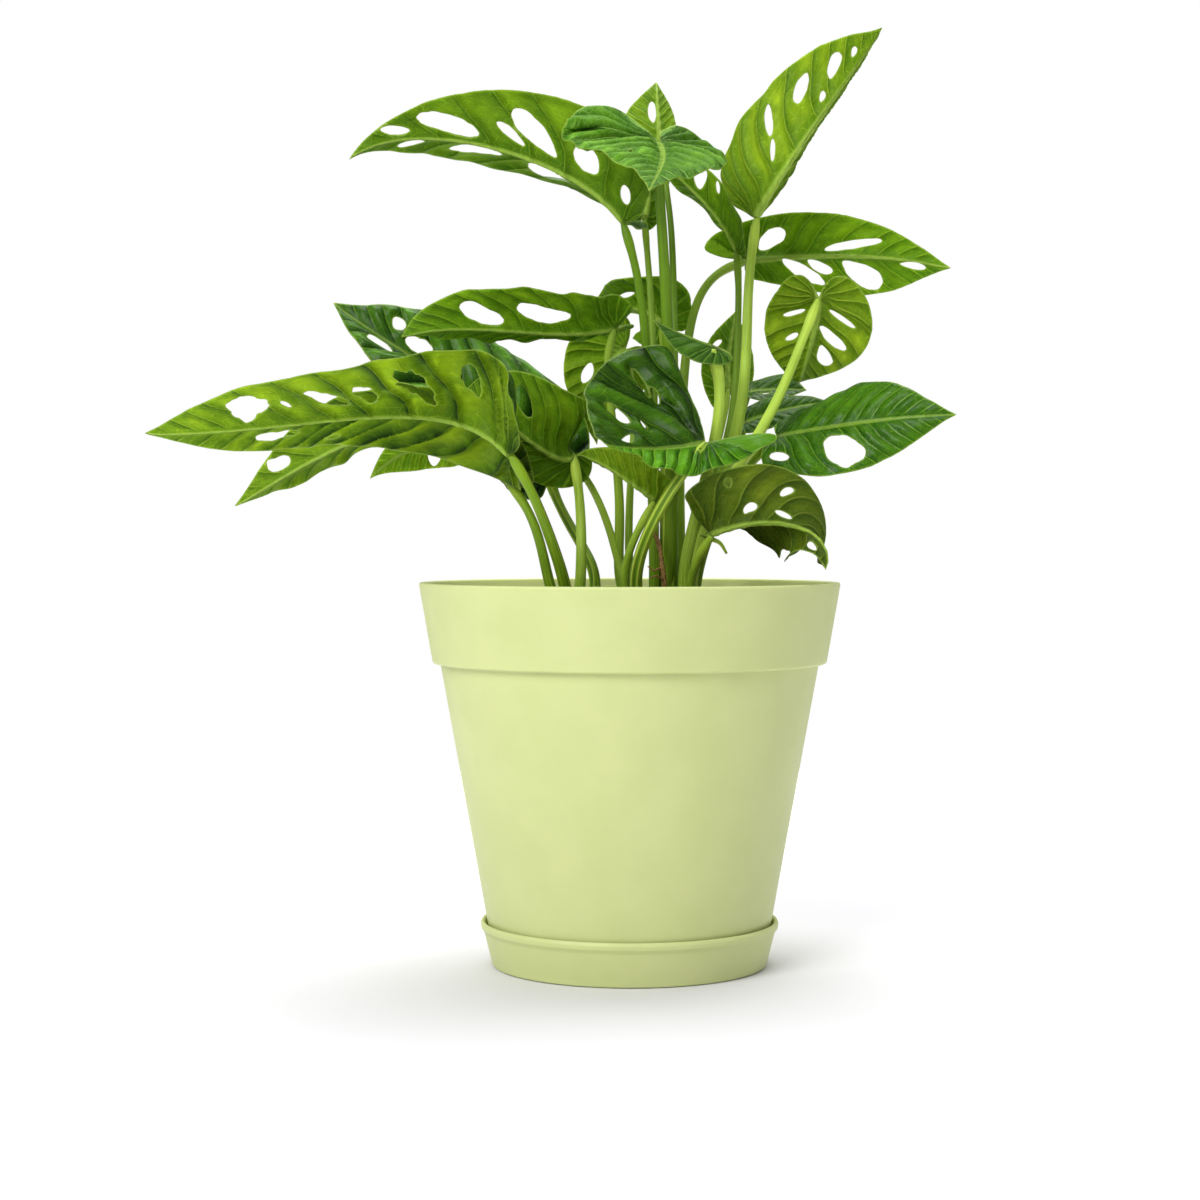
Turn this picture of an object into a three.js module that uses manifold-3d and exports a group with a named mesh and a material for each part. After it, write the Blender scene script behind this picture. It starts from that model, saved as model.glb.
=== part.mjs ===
// A potted Swiss cheese vine (Monstera adansonii) in a plain plastic pot with a saucer.
// Millimetres, +Z up, front towards -Y. The saucer's foot is on Z = 0 and the pot's axis is the Z axis.
import * as THREE from "three";
import { mergeVertices } from "three/addons/utils/BufferGeometryUtils.js";
import Module from "manifold-3d";

const wasm = await Module();
wasm.setup();

// Clearances and roundness
const GAP = 0.3; // between pieces that touch
const ROUND_SIDES = 48; // of the pot, the saucer and the soil
const STALK_SIDES = 6;
const STALK_STEPS = 2; // rings between two points of a stalk

// Saucer
const SAUCER_FOOT_RADIUS = 49;
const SAUCER_RIM_RADIUS = 53;
const SAUCER_HEIGHT = 16;
const SAUCER_WALL = 1.8;
const SAUCER_FLOOR = 2.2;

// Pot: a straight taper under a deep collar
const POT_BASE = SAUCER_FLOOR + GAP;
const POT_FOOT_RADIUS = 48.4;
const POT_BODY_TOP_RADIUS = 67.2;
const COLLAR_BOTTOM = 107.4;
const COLLAR_BOTTOM_RADIUS = 69.9;
const RIM_HEIGHT = 136;
const RIM_RADIUS = 75;
const POT_WALL = 2.2;
const POT_FLOOR = 3;
const FOOT_RECESS = 1.5; // the middle of the pot's underside is raised by this
const FOOT_RECESS_RADIUS = 40;
const DRAIN_RADIUS = 4;
const DRAIN_RING_RADIUS = 26;
const DRAIN_HOLES = 4;

// Soil
const SOIL_LEVEL = 124;
const SOIL_SIDES = 24;
const SOIL_RINGS = [0.9, 0.72, 0.5, 0.26]; // shares of its radius
const SOIL_BUMP = 1.1; // how far its top rises and falls
const SOIL_CLEARANCE = 0.4; // between the soil and the pot, whose sides are flats of fewer turns

// Stems: each clump of stalks rises from a rootstock whose top just shows above the soil
const CLUMPS = {
  left: { centre: [-20, -5], radius: 8 },
  centre: { centre: [8, 4], radius: 8 },
  right: { centre: [22, -3], radius: 7 },
};
const ROOTSTOCK_BOTTOM = 108;
const ROOTSTOCK_TOP = 127;
const STALK_FOOT = 117; // height at which a stalk leaves its rootstock
const GATHER = 0.25; // share of its distance from the clump's centre that a stalk keeps there

// Leaf blades
const BLADE_THICKNESS = 0.9;
const RIB_THICKNESS = 1.7; // along the middle of the blade
const RIB_SPACING = 13; // between the mesh points of a blade along its rib
const INNER_SPACING = 16; // between the other inner points of its mesh
const WINDOW_CLEARANCE = 1.5; // between those and a window's edge
const LONG_WINDOW = 14; // a window at least this long has more sides
const LONG_WINDOW_SIDES = 9;
const SHORT_WINDOW_SIDES = 6;
const WINDOW_EGG = 0.15; // how much broader a window is at its far end
// Edge of one half of a blade, from the stalk round the basal lobe to the tip. The first number is the
// share of the blade's length (where negative, of the lobe's reach behind the stalk), the second the share
// of the half width.
const HALF_OUTLINE = [
  [0, 0],
  [-0.62, 0.13],
  [-1, 0.36],
  [-0.72, 0.66],
  [-0.05, 0.86],
  [0.16, 0.98],
  [0.33, 1],
  [0.52, 0.89],
  [0.7, 0.64],
  [0.84, 0.34],
  [0.94, 0.11],
  [1, 0],
];
const OUTLINE_WIDEST = 0.33;
const OUTLINE_STEPS = 2; // edge points for each step of the outline
const MESH_ROUNDS = 8; // most times that missing edges are halved

// The leaves. Of each one:
//   rib      four points of its middle rib, a cubic curve from the stalk to the tip
//   face     the way its upper side looks, at the stalk and at the tip
//   half     its half widths, left and right of the rib as seen from above with the tip ahead
//   fold     degrees by which the two halves rise from the rib
//   curl     degrees by which they turn further up towards the edge
//   lobe     how far the two basal lobes reach back behind the stalk
//   taper    how much faster than the common outline its two halves narrow towards the tip
//   windows  its holes: place along the rib, place across it (left is positive), long, wide, degrees turned
//   clump    the clump its stalk belongs to
//   thick    the stalk's diameters at the foot and at the blade
//   stalk    the points its stalk passes through, from the pot's rim upwards
const LEAVES = [
  {
    name: "leaf_upper_left",
    rib: [[-1, -1, 264], [-18, 4, 289], [-79, -19, 301], [-96, -31, 281]],
    face: [[0.0, 0.1, 1.0], [0.0, 0.8, 0.5]],
    half: [25, 20],
    fold: [29, 18],
    curl: [5, -6],
    lobe: [4, 3],
    taper: [0.5, 0.5],
    windows: [
      [91, 3, 10, 3, 10],
      [85, -3, 11, 3, -5],
      [73, 5, 23, 6, 10],
      [60, -6, 19, 7, -5],
      [51, 6, 13, 3, 25],
      [43, 9, 21, 7, 30],
      [32, -9, 17, 11, 15],
      [24, 9, 12, 8, 35],
      [6, 8, 7, 5, 55],
    ],
    clump: "centre",
    thick: [4.4, 3.0],
    stalk: [[9, -2, 136], [8, -2, 172], [6, -2, 220], [2, -2, 250]],
  },
  {
    name: "leaf_top_front",
    rib: [[10, -27, 288], [13, -38, 280], [10, -76, 272], [6, -90, 262]],
    face: [[0.0, 0.1, 1.0], [0.1, -0.6, 0.8]],
    half: [21, 31],
    fold: [0, 13],
    curl: [-11, -12],
    lobe: [14, 18],
    taper: [0.6, 0.8],
    windows: [
      [27, -11, 10, 2, 0],
    ],
    clump: "centre",
    thick: [5.8, 3.4],
    stalk: [[14, 0, 136], [15, -3, 172], [14, -7, 211], [12, -15, 248], [10, -21, 276]],
  },
  {
    name: "leaf_top_right",
    rib: [[45, 5, 267], [55, -15, 284], [78, -4, 316], [86, -29, 326]],
    face: [[-0.2, 0.9, 0.5], [-0.5, 0.8, 0.4]],
    half: [20, 26],
    fold: [40, 40],
    curl: [40, 40],
    lobe: [3, 4],
    taper: [0.0, 0.0],
    windows: [
      [59, -6, 10, 4, -15],
      [46, -11, 10, 5, -20],
      [31, -15, 12, 3, -45],
      [23, -7, 8, 2, -35],
      [48, -3, 4, 2, -20],
      [67, -3, 4, 2, -15],
    ],
    clump: "right",
    thick: [5.6, 3.2],
    stalk: [[20.5, 0, 136], [24, -1, 154], [36, -3, 181], [41, -1, 208], [42, 2, 240], [44, 4, 258]],
  },
  {
    name: "leaf_right_upper",
    rib: [[44, 36, 254], [68, 32, 256], [94, 24, 256], [116, 16, 249]],
    face: [[0.0, 1.0, 0.2], [0.0, 0.9, 0.5]],
    half: [14, 16],
    fold: [10, 12],
    curl: [-11, -11],
    lobe: [2, 16],
    taper: [-1.3, 0.1],
    windows: [
      [9, -7, 12, 6, -30],
      [39, -4, 22, 3, -10],
      [20, 6, 18, 5, 35],
      [26, 4, 10, 4, 30],
      [42, 7, 17, 8, 30],
      [61, 2, 10, 3, 0],
    ],
    clump: "centre",
    thick: [4.8, 3.0],
    stalk: [[18, 18, 136], [18, 22, 173], [20, 28, 213], [24, 33, 239], [32, 36, 252]],
  },
  {
    name: "leaf_right_heart",
    rib: [[66, -14, 236], [67, -6, 227], [60, 6, 207], [61, 14, 208]],
    face: [[0.2, 0.8, 0.6], [-0.1, 0.8, 0.6]],
    half: [18, 20],
    fold: [11, 5],
    curl: [-10, -11],
    lobe: [8, 9],
    taper: [-0.1, -0.1],
    windows: [
      [9, 8, 9, 2, 55],
      [19, 7, 5, 2, 45],
      [8, -9, 12, 2, -60],
      [16, -7, 13, 4, -55],
      [24, -6, 10, 5, -30],
    ],
    clump: "right",
    thick: [5.6, 3.0],
    stalk: [[21, -8, 136], [25, -9, 154], [41, -12, 181], [52, -14, 200], [61, -16, 223]],
  },
  {
    name: "leaf_right_low",
    rib: [[52, -7, 188], [71, -16, 191], [91, -25, 194], [112, -30, 194]],
    face: [[0.0, -0.6, 0.8], [0.0, -1.0, 0.0]],
    half: [21, 20],
    fold: [6, 2],
    curl: [-40, -22],
    lobe: [3, 4],
    taper: [0.2, 0.2],
    windows: [
      [25, -10, 16, 11, -35],
      [3, -12, 8, 4, -20],
    ],
    clump: "right",
    thick: [4.4, 3.0],
    stalk: [[23, -3, 136], [28, -4, 154], [36, -5, 168], [43, -7, 181]],
  },
  {
    name: "leaf_right_drooping",
    rib: [[28, -28, 154], [45, -37, 161], [68, -27, 158], [66, -44, 141]],
    face: [[-0.4, 0.6, 0.7], [-0.8, 0.6, 0.0]],
    half: [21, 20],
    fold: [33, 40],
    curl: [-5, -11],
    lobe: [8, 2],
    taper: [0.0, 0.0],
    windows: [
      [25, -11, 5, 2, -50],
      [14, -5, 4, 2, -60],
      [25, -3, 6, 2, 15],
      [41, 3, 6, 3, 10],
    ],
    clump: "right",
    thick: [4.0, 2.8],
    stalk: [[20.5, -17, 136], [22, -22, 144], [25, -27, 149]],
  },
  {
    name: "leaf_centre_front",
    rib: [[26, -30, 185], [15, -32, 182], [1, -41, 182], [-8, -67, 183]],
    face: [[0.2, -0.5, 0.9], [0.1, -0.4, 0.9]],
    half: [13, 40],
    fold: [-13, 14],
    curl: [-7, 26],
    lobe: [24, 2],
    taper: [0.5, 0.5],
    windows: [
      [12, -29, 12, 2, -80],
      [9, -24, 7, 2, -85],
      [25, -17, 11, 4, -73],
      [18, -11, 5, 2, 80],
      [29, -5, 8, 3, 30],
    ],
    clump: "centre",
    thick: [5.2, 3.6],
    stalk: [[1, -19, 136], [4, -27, 148], [11, -36, 164], [22, -35, 179]],
  },
  {
    name: "leaf_centre_under",
    rib: [[9, -17, 166], [1, -23, 172], [-16, -21, 184], [-18, -28, 180]],
    face: [[0.0, 0.3, 1.0], [0.0, 0.7, 0.7]],
    half: [12, 11],
    fold: [13, 25],
    curl: [-11, 18],
    lobe: [4, 4],
    taper: [0.3, 0.3],
    windows: [],
    clump: "centre",
    thick: [3.8, 2.4],
    stalk: [[-4, -11, 136], [0, -14, 148], [5, -17, 160]],
  },
  {
    name: "leaf_left_inner",
    rib: [[-21, 3, 181], [-27, -4, 176], [-48, -16, 198], [-58, 8, 205]],
    face: [[0.1, 0.9, 0.3], [0.0, 0.9, 0.3]],
    half: [25, 12],
    fold: [3, -3],
    curl: [-29, -13],
    lobe: [2, 8],
    taper: [0.1, 0.1],
    windows: [
      [28, 10, 11, 5, 35],
    ],
    clump: "left",
    thick: [4.6, 3.2],
    stalk: [[-17, -10, 136], [-17, -6, 155], [-18, 1, 172]],
  },
  {
    name: "leaf_left_dark",
    rib: [[-31, 33, 176], [-43, 36, 201], [-87, 21, 220], [-110, 38, 239]],
    face: [[-0.6, -0.4, 0.7], [-0.1, -0.8, 0.6]],
    half: [19, 27],
    fold: [14, 17],
    curl: [-7, -40],
    lobe: [8, 9],
    taper: [-0.3, -0.3],
    windows: [
      [78, 3, 11, 3, 0],
      [77, -8, 6, 5, -35],
      [66, -5, 11, 6, 5],
    ],
    clump: "left",
    thick: [4.8, 3.4],
    stalk: [[-10, 6, 136], [-15, 14, 145], [-23, 24, 158], [-29, 32, 169]],
  },
  {
    name: "leaf_left_long",
    rib: [[-40, -30, 181], [-67, -3, 209], [-112, -80, 185], [-162, -52, 187]],
    face: [[0.0, 0.6, 0.8], [0.8, 0.4, 0.4]],
    half: [32, 20],
    fold: [5, -11],
    curl: [12, 6],
    lobe: [6, 4],
    taper: [0.1, 0.1],
    windows: [
      [99, 9, 14, 10, -5],
      [88, 10, 6, 2, 45],
      [74, 11, 19, 5, 30],
      [62, 12, 13, 5, 40],
      [45, 15, 26, 7, 40],
      [25, 20, 16, 6, 45],
      [89, -6, 16, 4, 0],
      [66, -13, 5, 3, 0],
    ],
    clump: "left",
    thick: [5.2, 3.4],
    stalk: [[-22, -24, 137], [-26, -27, 148], [-30, -30, 160], [-35, -31, 172]],
  },
  {
    name: "leaf_left_lower",
    rib: [[-43, -9, 173], [-70, -7, 210], [-107, -8, 183], [-141, 1, 163]],
    face: [[0.0, 0.4, 0.9], [0.1, 0.8, 0.5]],
    half: [19, 15],
    fold: [15, 25],
    curl: [-8, 4],
    lobe: [8, 8],
    taper: [-0.3, -0.3],
    windows: [
      [89, 5, 9, 5, 15],
      [54, -7, 11, 2, -80],
    ],
    clump: "left",
    thick: [4.4, 3.0],
    stalk: [[-29, -12, 136], [-30, -13, 148], [-34, -12, 160], [-39, -10, 169]],
  },
  {
    name: "leaf_left_small",
    rib: [[-54, 14, 188], [-64, 13, 192], [-86, 13, 183], [-94, 14, 173]],
    face: [[0.1, 0.9, 0.4], [0.0, 0.9, 0.4]],
    half: [10, 12],
    fold: [12, 11],
    curl: [-10, -11],
    lobe: [5, 5],
    taper: [0.2, 0.2],
    windows: [
      [28, 4, 10, 2, 10],
      [19, -6, 8, 5, -70],
    ],
    clump: "centre",
    thick: [3.4, 2.2],
    stalk: [[-3, 9, 136], [-5, 11, 149], [-16, 13, 176], [-30, 14, 186], [-44, 14, 187]],
  },
  {
    name: "leaf_left_middle",
    rib: [[-6, 14, 228], [-28, 12, 222], [-58, -16, 230], [-82, 10, 224]],
    face: [[0.0, 0.6, 0.8], [0.1, 0.8, 0.6]],
    half: [20, 14],
    fold: [9, 27],
    curl: [-16, 5],
    lobe: [8, 8],
    taper: [-0.3, -0.3],
    windows: [
      [49, 6, 16, 7, 25],
      [28, 8, 21, 7, 10],
    ],
    clump: "centre",
    thick: [4.4, 2.6],
    stalk: [[-5, 12, 136], [-3, 11, 155], [-5, 12, 183], [-8, 13, 209], [-10, 14, 221]],
  },
  {
    name: "leaf_centre_behind",
    rib: [[-2, 44, 222], [-12, 43, 214], [-15, 41, 200], [-12, 41, 186]],
    face: [[0.0, 0.9, 0.4], [0.1, 0.9, 0.4]],
    half: [16, 15],
    fold: [15, 12],
    curl: [-12, -10],
    lobe: [8, 8],
    taper: [0.9, 0.9],
    windows: [
      [14, 6, 7, 4, 0],
    ],
    clump: "centre",
    thick: [3.6, 2.2],
    stalk: [[0, 22, 136], [0, 30, 166], [2, 38, 203]],
  },
  {
    name: "leaf_back_centre",
    rib: [[11, 34, 231], [4, 34, 240], [-4, 44, 239], [-14, 46, 240]],
    face: [[-0.6, 0.5, 0.6], [0.0, 0.7, 0.7]],
    half: [16, 12],
    fold: [9, 16],
    curl: [-12, -5],
    lobe: [8, 8],
    taper: [0.2, 0.2],
    windows: [
      [14, 5, 8, 2, -30],
    ],
    clump: "centre",
    thick: [4.0, 2.4],
    stalk: [[13, 26, 135], [13, 32, 173], [14, 37, 210]],
  },
  {
    name: "leaf_top_back",
    rib: [[12, 35, 288], [11, 40, 300], [10, 45, 312], [10, 50, 322]],
    face: [[0.0, 0.9, 0.3], [-0.1, 0.9, 0.4]],
    half: [6, 13],
    fold: [14, 13],
    curl: [-9, -9],
    lobe: [8, 8],
    taper: [-1.2, -0.9],
    windows: [
      [24, -2, 9, 3, -3],
    ],
    clump: "centre",
    thick: [3.8, 2.2],
    stalk: [[14, 8, 136], [16, 10, 187], [16, 15, 234], [15, 28, 270]],
  },
  {
    name: "leaf_top_middle",
    rib: [[40, 22, 256], [32, 26, 277], [13, 24, 283], [6, 27, 300]],
    face: [[0.8, 0.3, 0.5], [0.1, 0.9, 0.5]],
    half: [12, 8],
    fold: [6, 25],
    curl: [-13, -9],
    lobe: [4, 4],
    taper: [-0.3, -0.3],
    windows: [
      [29, 6, 9, 5, 70],
      [22, 9, 5, 2, 45],
    ],
    clump: "right",
    thick: [4.0, 2.4],
    stalk: [[20, 7, 136], [24, 9, 154], [32, 12, 175], [38, 14, 200], [39, 17, 227], [40, 19, 247]],
  },
  {
    name: "leaf_centre_small",
    rib: [[29, -21, 219], [22, -23, 221], [15, -25, 224], [8, -27, 227]],
    face: [[0.0, 0.1, 1.0], [0.0, 0.1, 1.0]],
    half: [9, 6],
    fold: [-68, -30],
    curl: [-17, -3],
    lobe: [8, 8],
    taper: [0.1, 0.1],
    windows: [],
    clump: "right",
    thick: [4.8, 4.0],
    stalk: [[18, -9, 136], [22, -10, 154], [31, -11, 190], [32, -17, 211]],
  },
  {
    name: "leaf_back_right",
    rib: [[37, 47, 207], [36, 49, 217], [38, 51, 227], [40, 53, 237]],
    face: [[0.0, 1.0, 0.3], [0.0, 1.0, 0.2]],
    half: [10, 10],
    fold: [9, 11],
    curl: [-11, -10],
    lobe: [8, 8],
    taper: [0.0, 0.0],
    windows: [
      [17, -5, 5, 2, 40],
      [14, -4, 4, 2, 70],
    ],
    clump: "right",
    thick: [3.2, 2.0],
    stalk: [[24, 17, 136], [28, 30, 169], [36, 41, 197]],
  },
  {
    name: "leaf_back_low",
    rib: [[44, 36, 206], [51, 34, 207], [58, 32, 207], [65, 30, 206]],
    face: [[0.0, -0.5, 0.9], [0.0, -0.8, 0.6]],
    half: [9, 9],
    fold: [10, 9],
    curl: [-14, -10],
    lobe: [4, 4],
    taper: [-0.1, -0.1],
    windows: [
      [7, -3, 4, 2, 10],
    ],
    clump: "right",
    thick: [3.0, 1.8],
    stalk: [[24, 10, 136], [28, 18, 154], [35, 30, 176], [40, 33, 195]],
  },
  {
    name: "leaf_back_lower",
    rib: [[42, 18, 194], [52, 17, 198], [62, 16, 200], [72, 14, 201]],
    face: [[0.0, -0.6, 0.8], [0.0, -0.7, 0.7]],
    half: [9, 9],
    fold: [7, 9],
    curl: [-19, -9],
    lobe: [4, 4],
    taper: [0.0, 0.0],
    windows: [],
    clump: "right",
    thick: [3.0, 1.8],
    stalk: [[24, 4, 136], [28, 8, 154], [34, 13, 170], [39, 18, 184]],
  },
  {
    name: "leaf_top_small",
    rib: [[5, 24, 268], [7, 26, 273], [7, 29, 278], [7, 31, 284]],
    face: [[0.0, 0.9, 0.5], [0.0, 0.9, 0.5]],
    half: [6, 6],
    fold: [12, 12],
    curl: [-10, -10],
    lobe: [4, 4],
    taper: [0.1, 0.1],
    windows: [],
    clump: "centre",
    thick: [3.6, 2.2],
    stalk: [[9, 8, 136], [9, 7, 187], [8, 12, 233], [6, 21, 259]],
  },
];

// Stems and stubs that carry no blade of their own
const EXTRA_STEMS = [
  {
    clump: "centre",
    thick: [7.4, 6],
    path: [[13, 2, 118], [14, 1, 150], [14, -1, 190]],
  },
];
const AERIAL_ROOT = {
  thick: [1.4, 2],
  path: [[8, -9, 155], [11, -9, 146], [14, -11, 120]],
};

// Vectors and curves

const vec = (p) => new THREE.Vector3(...p);
const radians = THREE.MathUtils.degToRad;

// Points of a smooth curve through the given ones, with so many steps between two of them.
function smoothThrough(points, steps) {
  const first = points[0].clone().multiplyScalar(2).sub(points[1]);
  const last = points[points.length - 1].clone().multiplyScalar(2).sub(points[points.length - 2]);
  const all = [first, ...points, last];
  const out = [];
  for (let i = 1; i < all.length - 2; i += 1) {
    const [a, b, c, d] = all.slice(i - 1, i + 3);
    for (let k = 0; k < steps; k += 1) {
      const t = k / steps;
      const point = b.clone().multiplyScalar(2);
      point.addScaledVector(c.clone().sub(a), t);
      const bend = a.clone().multiplyScalar(2).addScaledVector(b, -5).addScaledVector(c, 4).sub(d);
      point.addScaledVector(bend, t * t);
      point.addScaledVector(b.clone().multiplyScalar(3).sub(a).addScaledVector(c, -3).add(d), t * t * t);
      out.push(point.multiplyScalar(0.5));
    }
  }
  out.push(points[points.length - 1].clone());
  return out;
}

// Solids and meshes

function solidOf(geometry) {
  const bare = new THREE.BufferGeometry();
  bare.setAttribute("position", geometry.getAttribute("position"));
  bare.setIndex(geometry.index);
  const merged = mergeVertices(bare, 1e-4);
  const kept = [];
  const index = merged.index.array;
  for (let i = 0; i < index.length; i += 3) {
    const [a, b, c] = index.slice(i, i + 3);
    if (a !== b && b !== c && c !== a) kept.push(a, b, c);
  }
  const mesh = new wasm.Mesh({
    numProp: 3,
    vertProperties: merged.getAttribute("position").array,
    triVerts: new Uint32Array(kept),
  });
  return new wasm.Manifold(mesh);
}

function geometryOf(solid) {
  const mesh = solid.getMesh();
  const geometry = new THREE.BufferGeometry();
  geometry.setAttribute("position", new THREE.BufferAttribute(new Float32Array(mesh.vertProperties), 3));
  geometry.setIndex([...mesh.triVerts]);
  geometry.computeVertexNormals();
  return geometry;
}

function meshOf(name, geometry, material) {
  const mesh = new THREE.Mesh(geometry, material);
  mesh.name = name;
  return mesh;
}

function geometryFrom(points, triangles) {
  const geometry = new THREE.BufferGeometry();
  const numbers = points.flatMap((p) => [p.x, p.y, p.z]);
  geometry.setAttribute("position", new THREE.Float32BufferAttribute(numbers, 3));
  geometry.setIndex(triangles.flat());
  return geometry;
}

// A solid turned about the Z axis from [radius, height] points.
function turned(profile, sides = ROUND_SIDES) {
  const outline = profile.map(([radius, height]) => new THREE.Vector2(radius, height));
  return new THREE.LatheGeometry(outline, sides).rotateX(Math.PI / 2);
}

// A round bar through the points, with one radius for each of them.
function bar(points, radii, sides) {
  const rings = [];
  let side = new THREE.Vector3(1, 0, 0);
  points.forEach((point, i) => {
    const before = points[Math.max(i - 1, 0)];
    const after = points[Math.min(i + 1, points.length - 1)];
    const along = after.clone().sub(before).normalize();
    side = side.addScaledVector(along, -side.dot(along)).normalize();
    const other = along.clone().cross(side);
    for (let k = 0; k < sides; k += 1) {
      const angle = (2 * Math.PI * k) / sides;
      const out = side.clone().multiplyScalar(Math.cos(angle)).addScaledVector(other, Math.sin(angle));
      rings.push(point.clone().addScaledVector(out, radii[i]));
    }
  });
  const triangles = [];
  const last = (points.length - 1) * sides;
  for (let k = 0; k < sides; k += 1) {
    const next = (k + 1) % sides;
    for (let ring = 0; ring < last; ring += sides) {
      triangles.push([ring + k, ring + next, ring + sides + k]);
      triangles.push([ring + next, ring + sides + next, ring + sides + k]);
    }
    if (k > 0 && next > 0) {
      triangles.push([0, next, k]);
      triangles.push([last, last + k, last + next]);
    }
  }
  return geometryFrom(rings, triangles);
}

// Leaf blades

// The surface of a leaf: a flat pattern of (along, across) laid on its curved rib.
class Blade {
  constructor(leaf) {
    this.leaf = leaf;
    this.curve = new THREE.CubicBezierCurve3(...leaf.rib.map(vec));
    this.length = this.curve.getLength();
    this.faces = leaf.face.map((f) => vec(f).normalize());
  }

  frame(along) {
    const share = THREE.MathUtils.clamp(along / this.length, 0, 1);
    const origin = this.curve.getPointAt(share);
    const ahead = this.curve.getTangentAt(share);
    origin.addScaledVector(ahead, Math.min(along, 0));
    const up = this.faces[0].clone().lerp(this.faces[1], share);
    up.addScaledVector(ahead, -up.dot(ahead)).normalize();
    const left = up.clone().cross(ahead);
    return { origin, ahead, up, left };
  }

  point(along, across) {
    const { origin, up, left } = this.frame(along);
    const half = across < 0 ? 1 : 0;
    const width = this.leaf.half[half];
    const fold = radians(this.leaf.fold[half]);
    const curl = radians(this.leaf.curl[half] || 0.1);
    const end = fold + (curl * Math.abs(across)) / width;
    const out = (width / curl) * (Math.sin(end) - Math.sin(fold));
    const rise = (width / curl) * (Math.cos(fold) - Math.cos(end));
    return origin.addScaledVector(left, Math.sign(across) * out).addScaledVector(up, rise);
  }

  normal(along, across) {
    if (across === 0) return this.frame(along).up;
    const step = 0.5 * Math.sign(across);
    const here = this.point(along, across);
    const ahead = this.point(along + 0.5, across).sub(here);
    const out = this.point(along, across + step).sub(here).multiplyScalar(Math.sign(across));
    return ahead.cross(out).normalize();
  }

  // Edge of one half, from the stalk to the tip, as [along, across] points.
  halfOutline(half) {
    const { lobe, taper } = this.leaf;
    const corners = HALF_OUTLINE.map(([along, across]) => {
      const narrowing = 1 + taper[half] * (OUTLINE_WIDEST - Math.max(along, 0));
      const reach = along < 0 ? lobe[half] : this.length;
      return new THREE.Vector3(along * reach, across * this.leaf.half[half] * narrowing, 0);
    });
    const side = half === 0 ? 1 : -1;
    return smoothThrough(corners, OUTLINE_STEPS).map((p) => [p.x, side * p.y]);
  }

  outline() {
    const left = this.halfOutline(0);
    const right = this.halfOutline(1);
    return [...left.slice(0, -1), ...right.slice(1).reverse()];
  }

  // Edges of the windows: egg shapes.
  windows() {
    return this.leaf.windows.map(([along, across, long, wide, turn]) => {
      const count = long < LONG_WINDOW ? SHORT_WINDOW_SIDES : LONG_WINDOW_SIDES;
      const angle = radians(turn);
      return Array.from({ length: count }, (_, k) => {
        const t = (2 * Math.PI * k) / count;
        const x = (Math.cos(t) * long) / 2;
        const y = ((Math.sin(t) * wide) / 2) * (1 + WINDOW_EGG * Math.cos(t));
        const [cos, sin] = [Math.cos(angle), Math.sin(angle)];
        return [along + x * cos - y * sin, across + x * sin + y * cos];
      });
    });
  }
}

const distance = (a, b) => Math.hypot(a[0] - b[0], a[1] - b[1]);
const middle = (a, b) => [(a[0] + b[0]) / 2, (a[1] + b[1]) / 2];

function contains(polygon, [x, y]) {
  let inside = false;
  polygon.forEach(([x1, y1], i) => {
    const [x2, y2] = polygon[(i + 1) % polygon.length];
    if (y1 > y !== y2 > y && x < ((x2 - x1) * (y - y1)) / (y2 - y1) + x1) inside = !inside;
  });
  return inside;
}

function inCircleOf([a, b, c], p) {
  const rows = [a, b, c].map((q) => [q[0] - p[0], q[1] - p[1]]);
  const squares = rows.map(([x, y]) => x * x + y * y);
  const [[ax, ay], [bx, by], [cx, cy]] = rows;
  const first = squares[0] * (bx * cy - cx * by);
  const second = squares[1] * (ax * cy - cx * ay);
  const third = squares[2] * (ax * by - bx * ay);
  return first - second + third > 1e-9;
}

const edgesOf = ([a, b, c]) => [
  [a, b],
  [b, c],
  [c, a],
];
const edgeKey = (a, b) => (a < b ? a + "-" + b : b + "-" + a);

// Delaunay triangles of points in the plane, each turning to the left.
function delaunay(points) {
  const far = 1e4;
  const all = [...points, [-far, -far], [far, -far], [0, far]];
  const count = points.length;
  let triangles = [[count, count + 1, count + 2]];
  points.forEach((p, i) => {
    const hit = triangles.filter((t) => inCircleOf(t.map((v) => all[v]), p));
    const seen = new Map();
    hit.flatMap(edgesOf).forEach(([a, b]) => {
      const key = edgeKey(a, b);
      seen.set(key, seen.has(key) ? null : [a, b]);
    });
    const struck = new Set(hit);
    triangles = triangles.filter((t) => !struck.has(t));
    for (const edge of seen.values()) {
      if (edge) triangles.push([...edge, i]);
    }
  });
  return triangles.filter((t) => t.every((v) => v < count));
}

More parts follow.
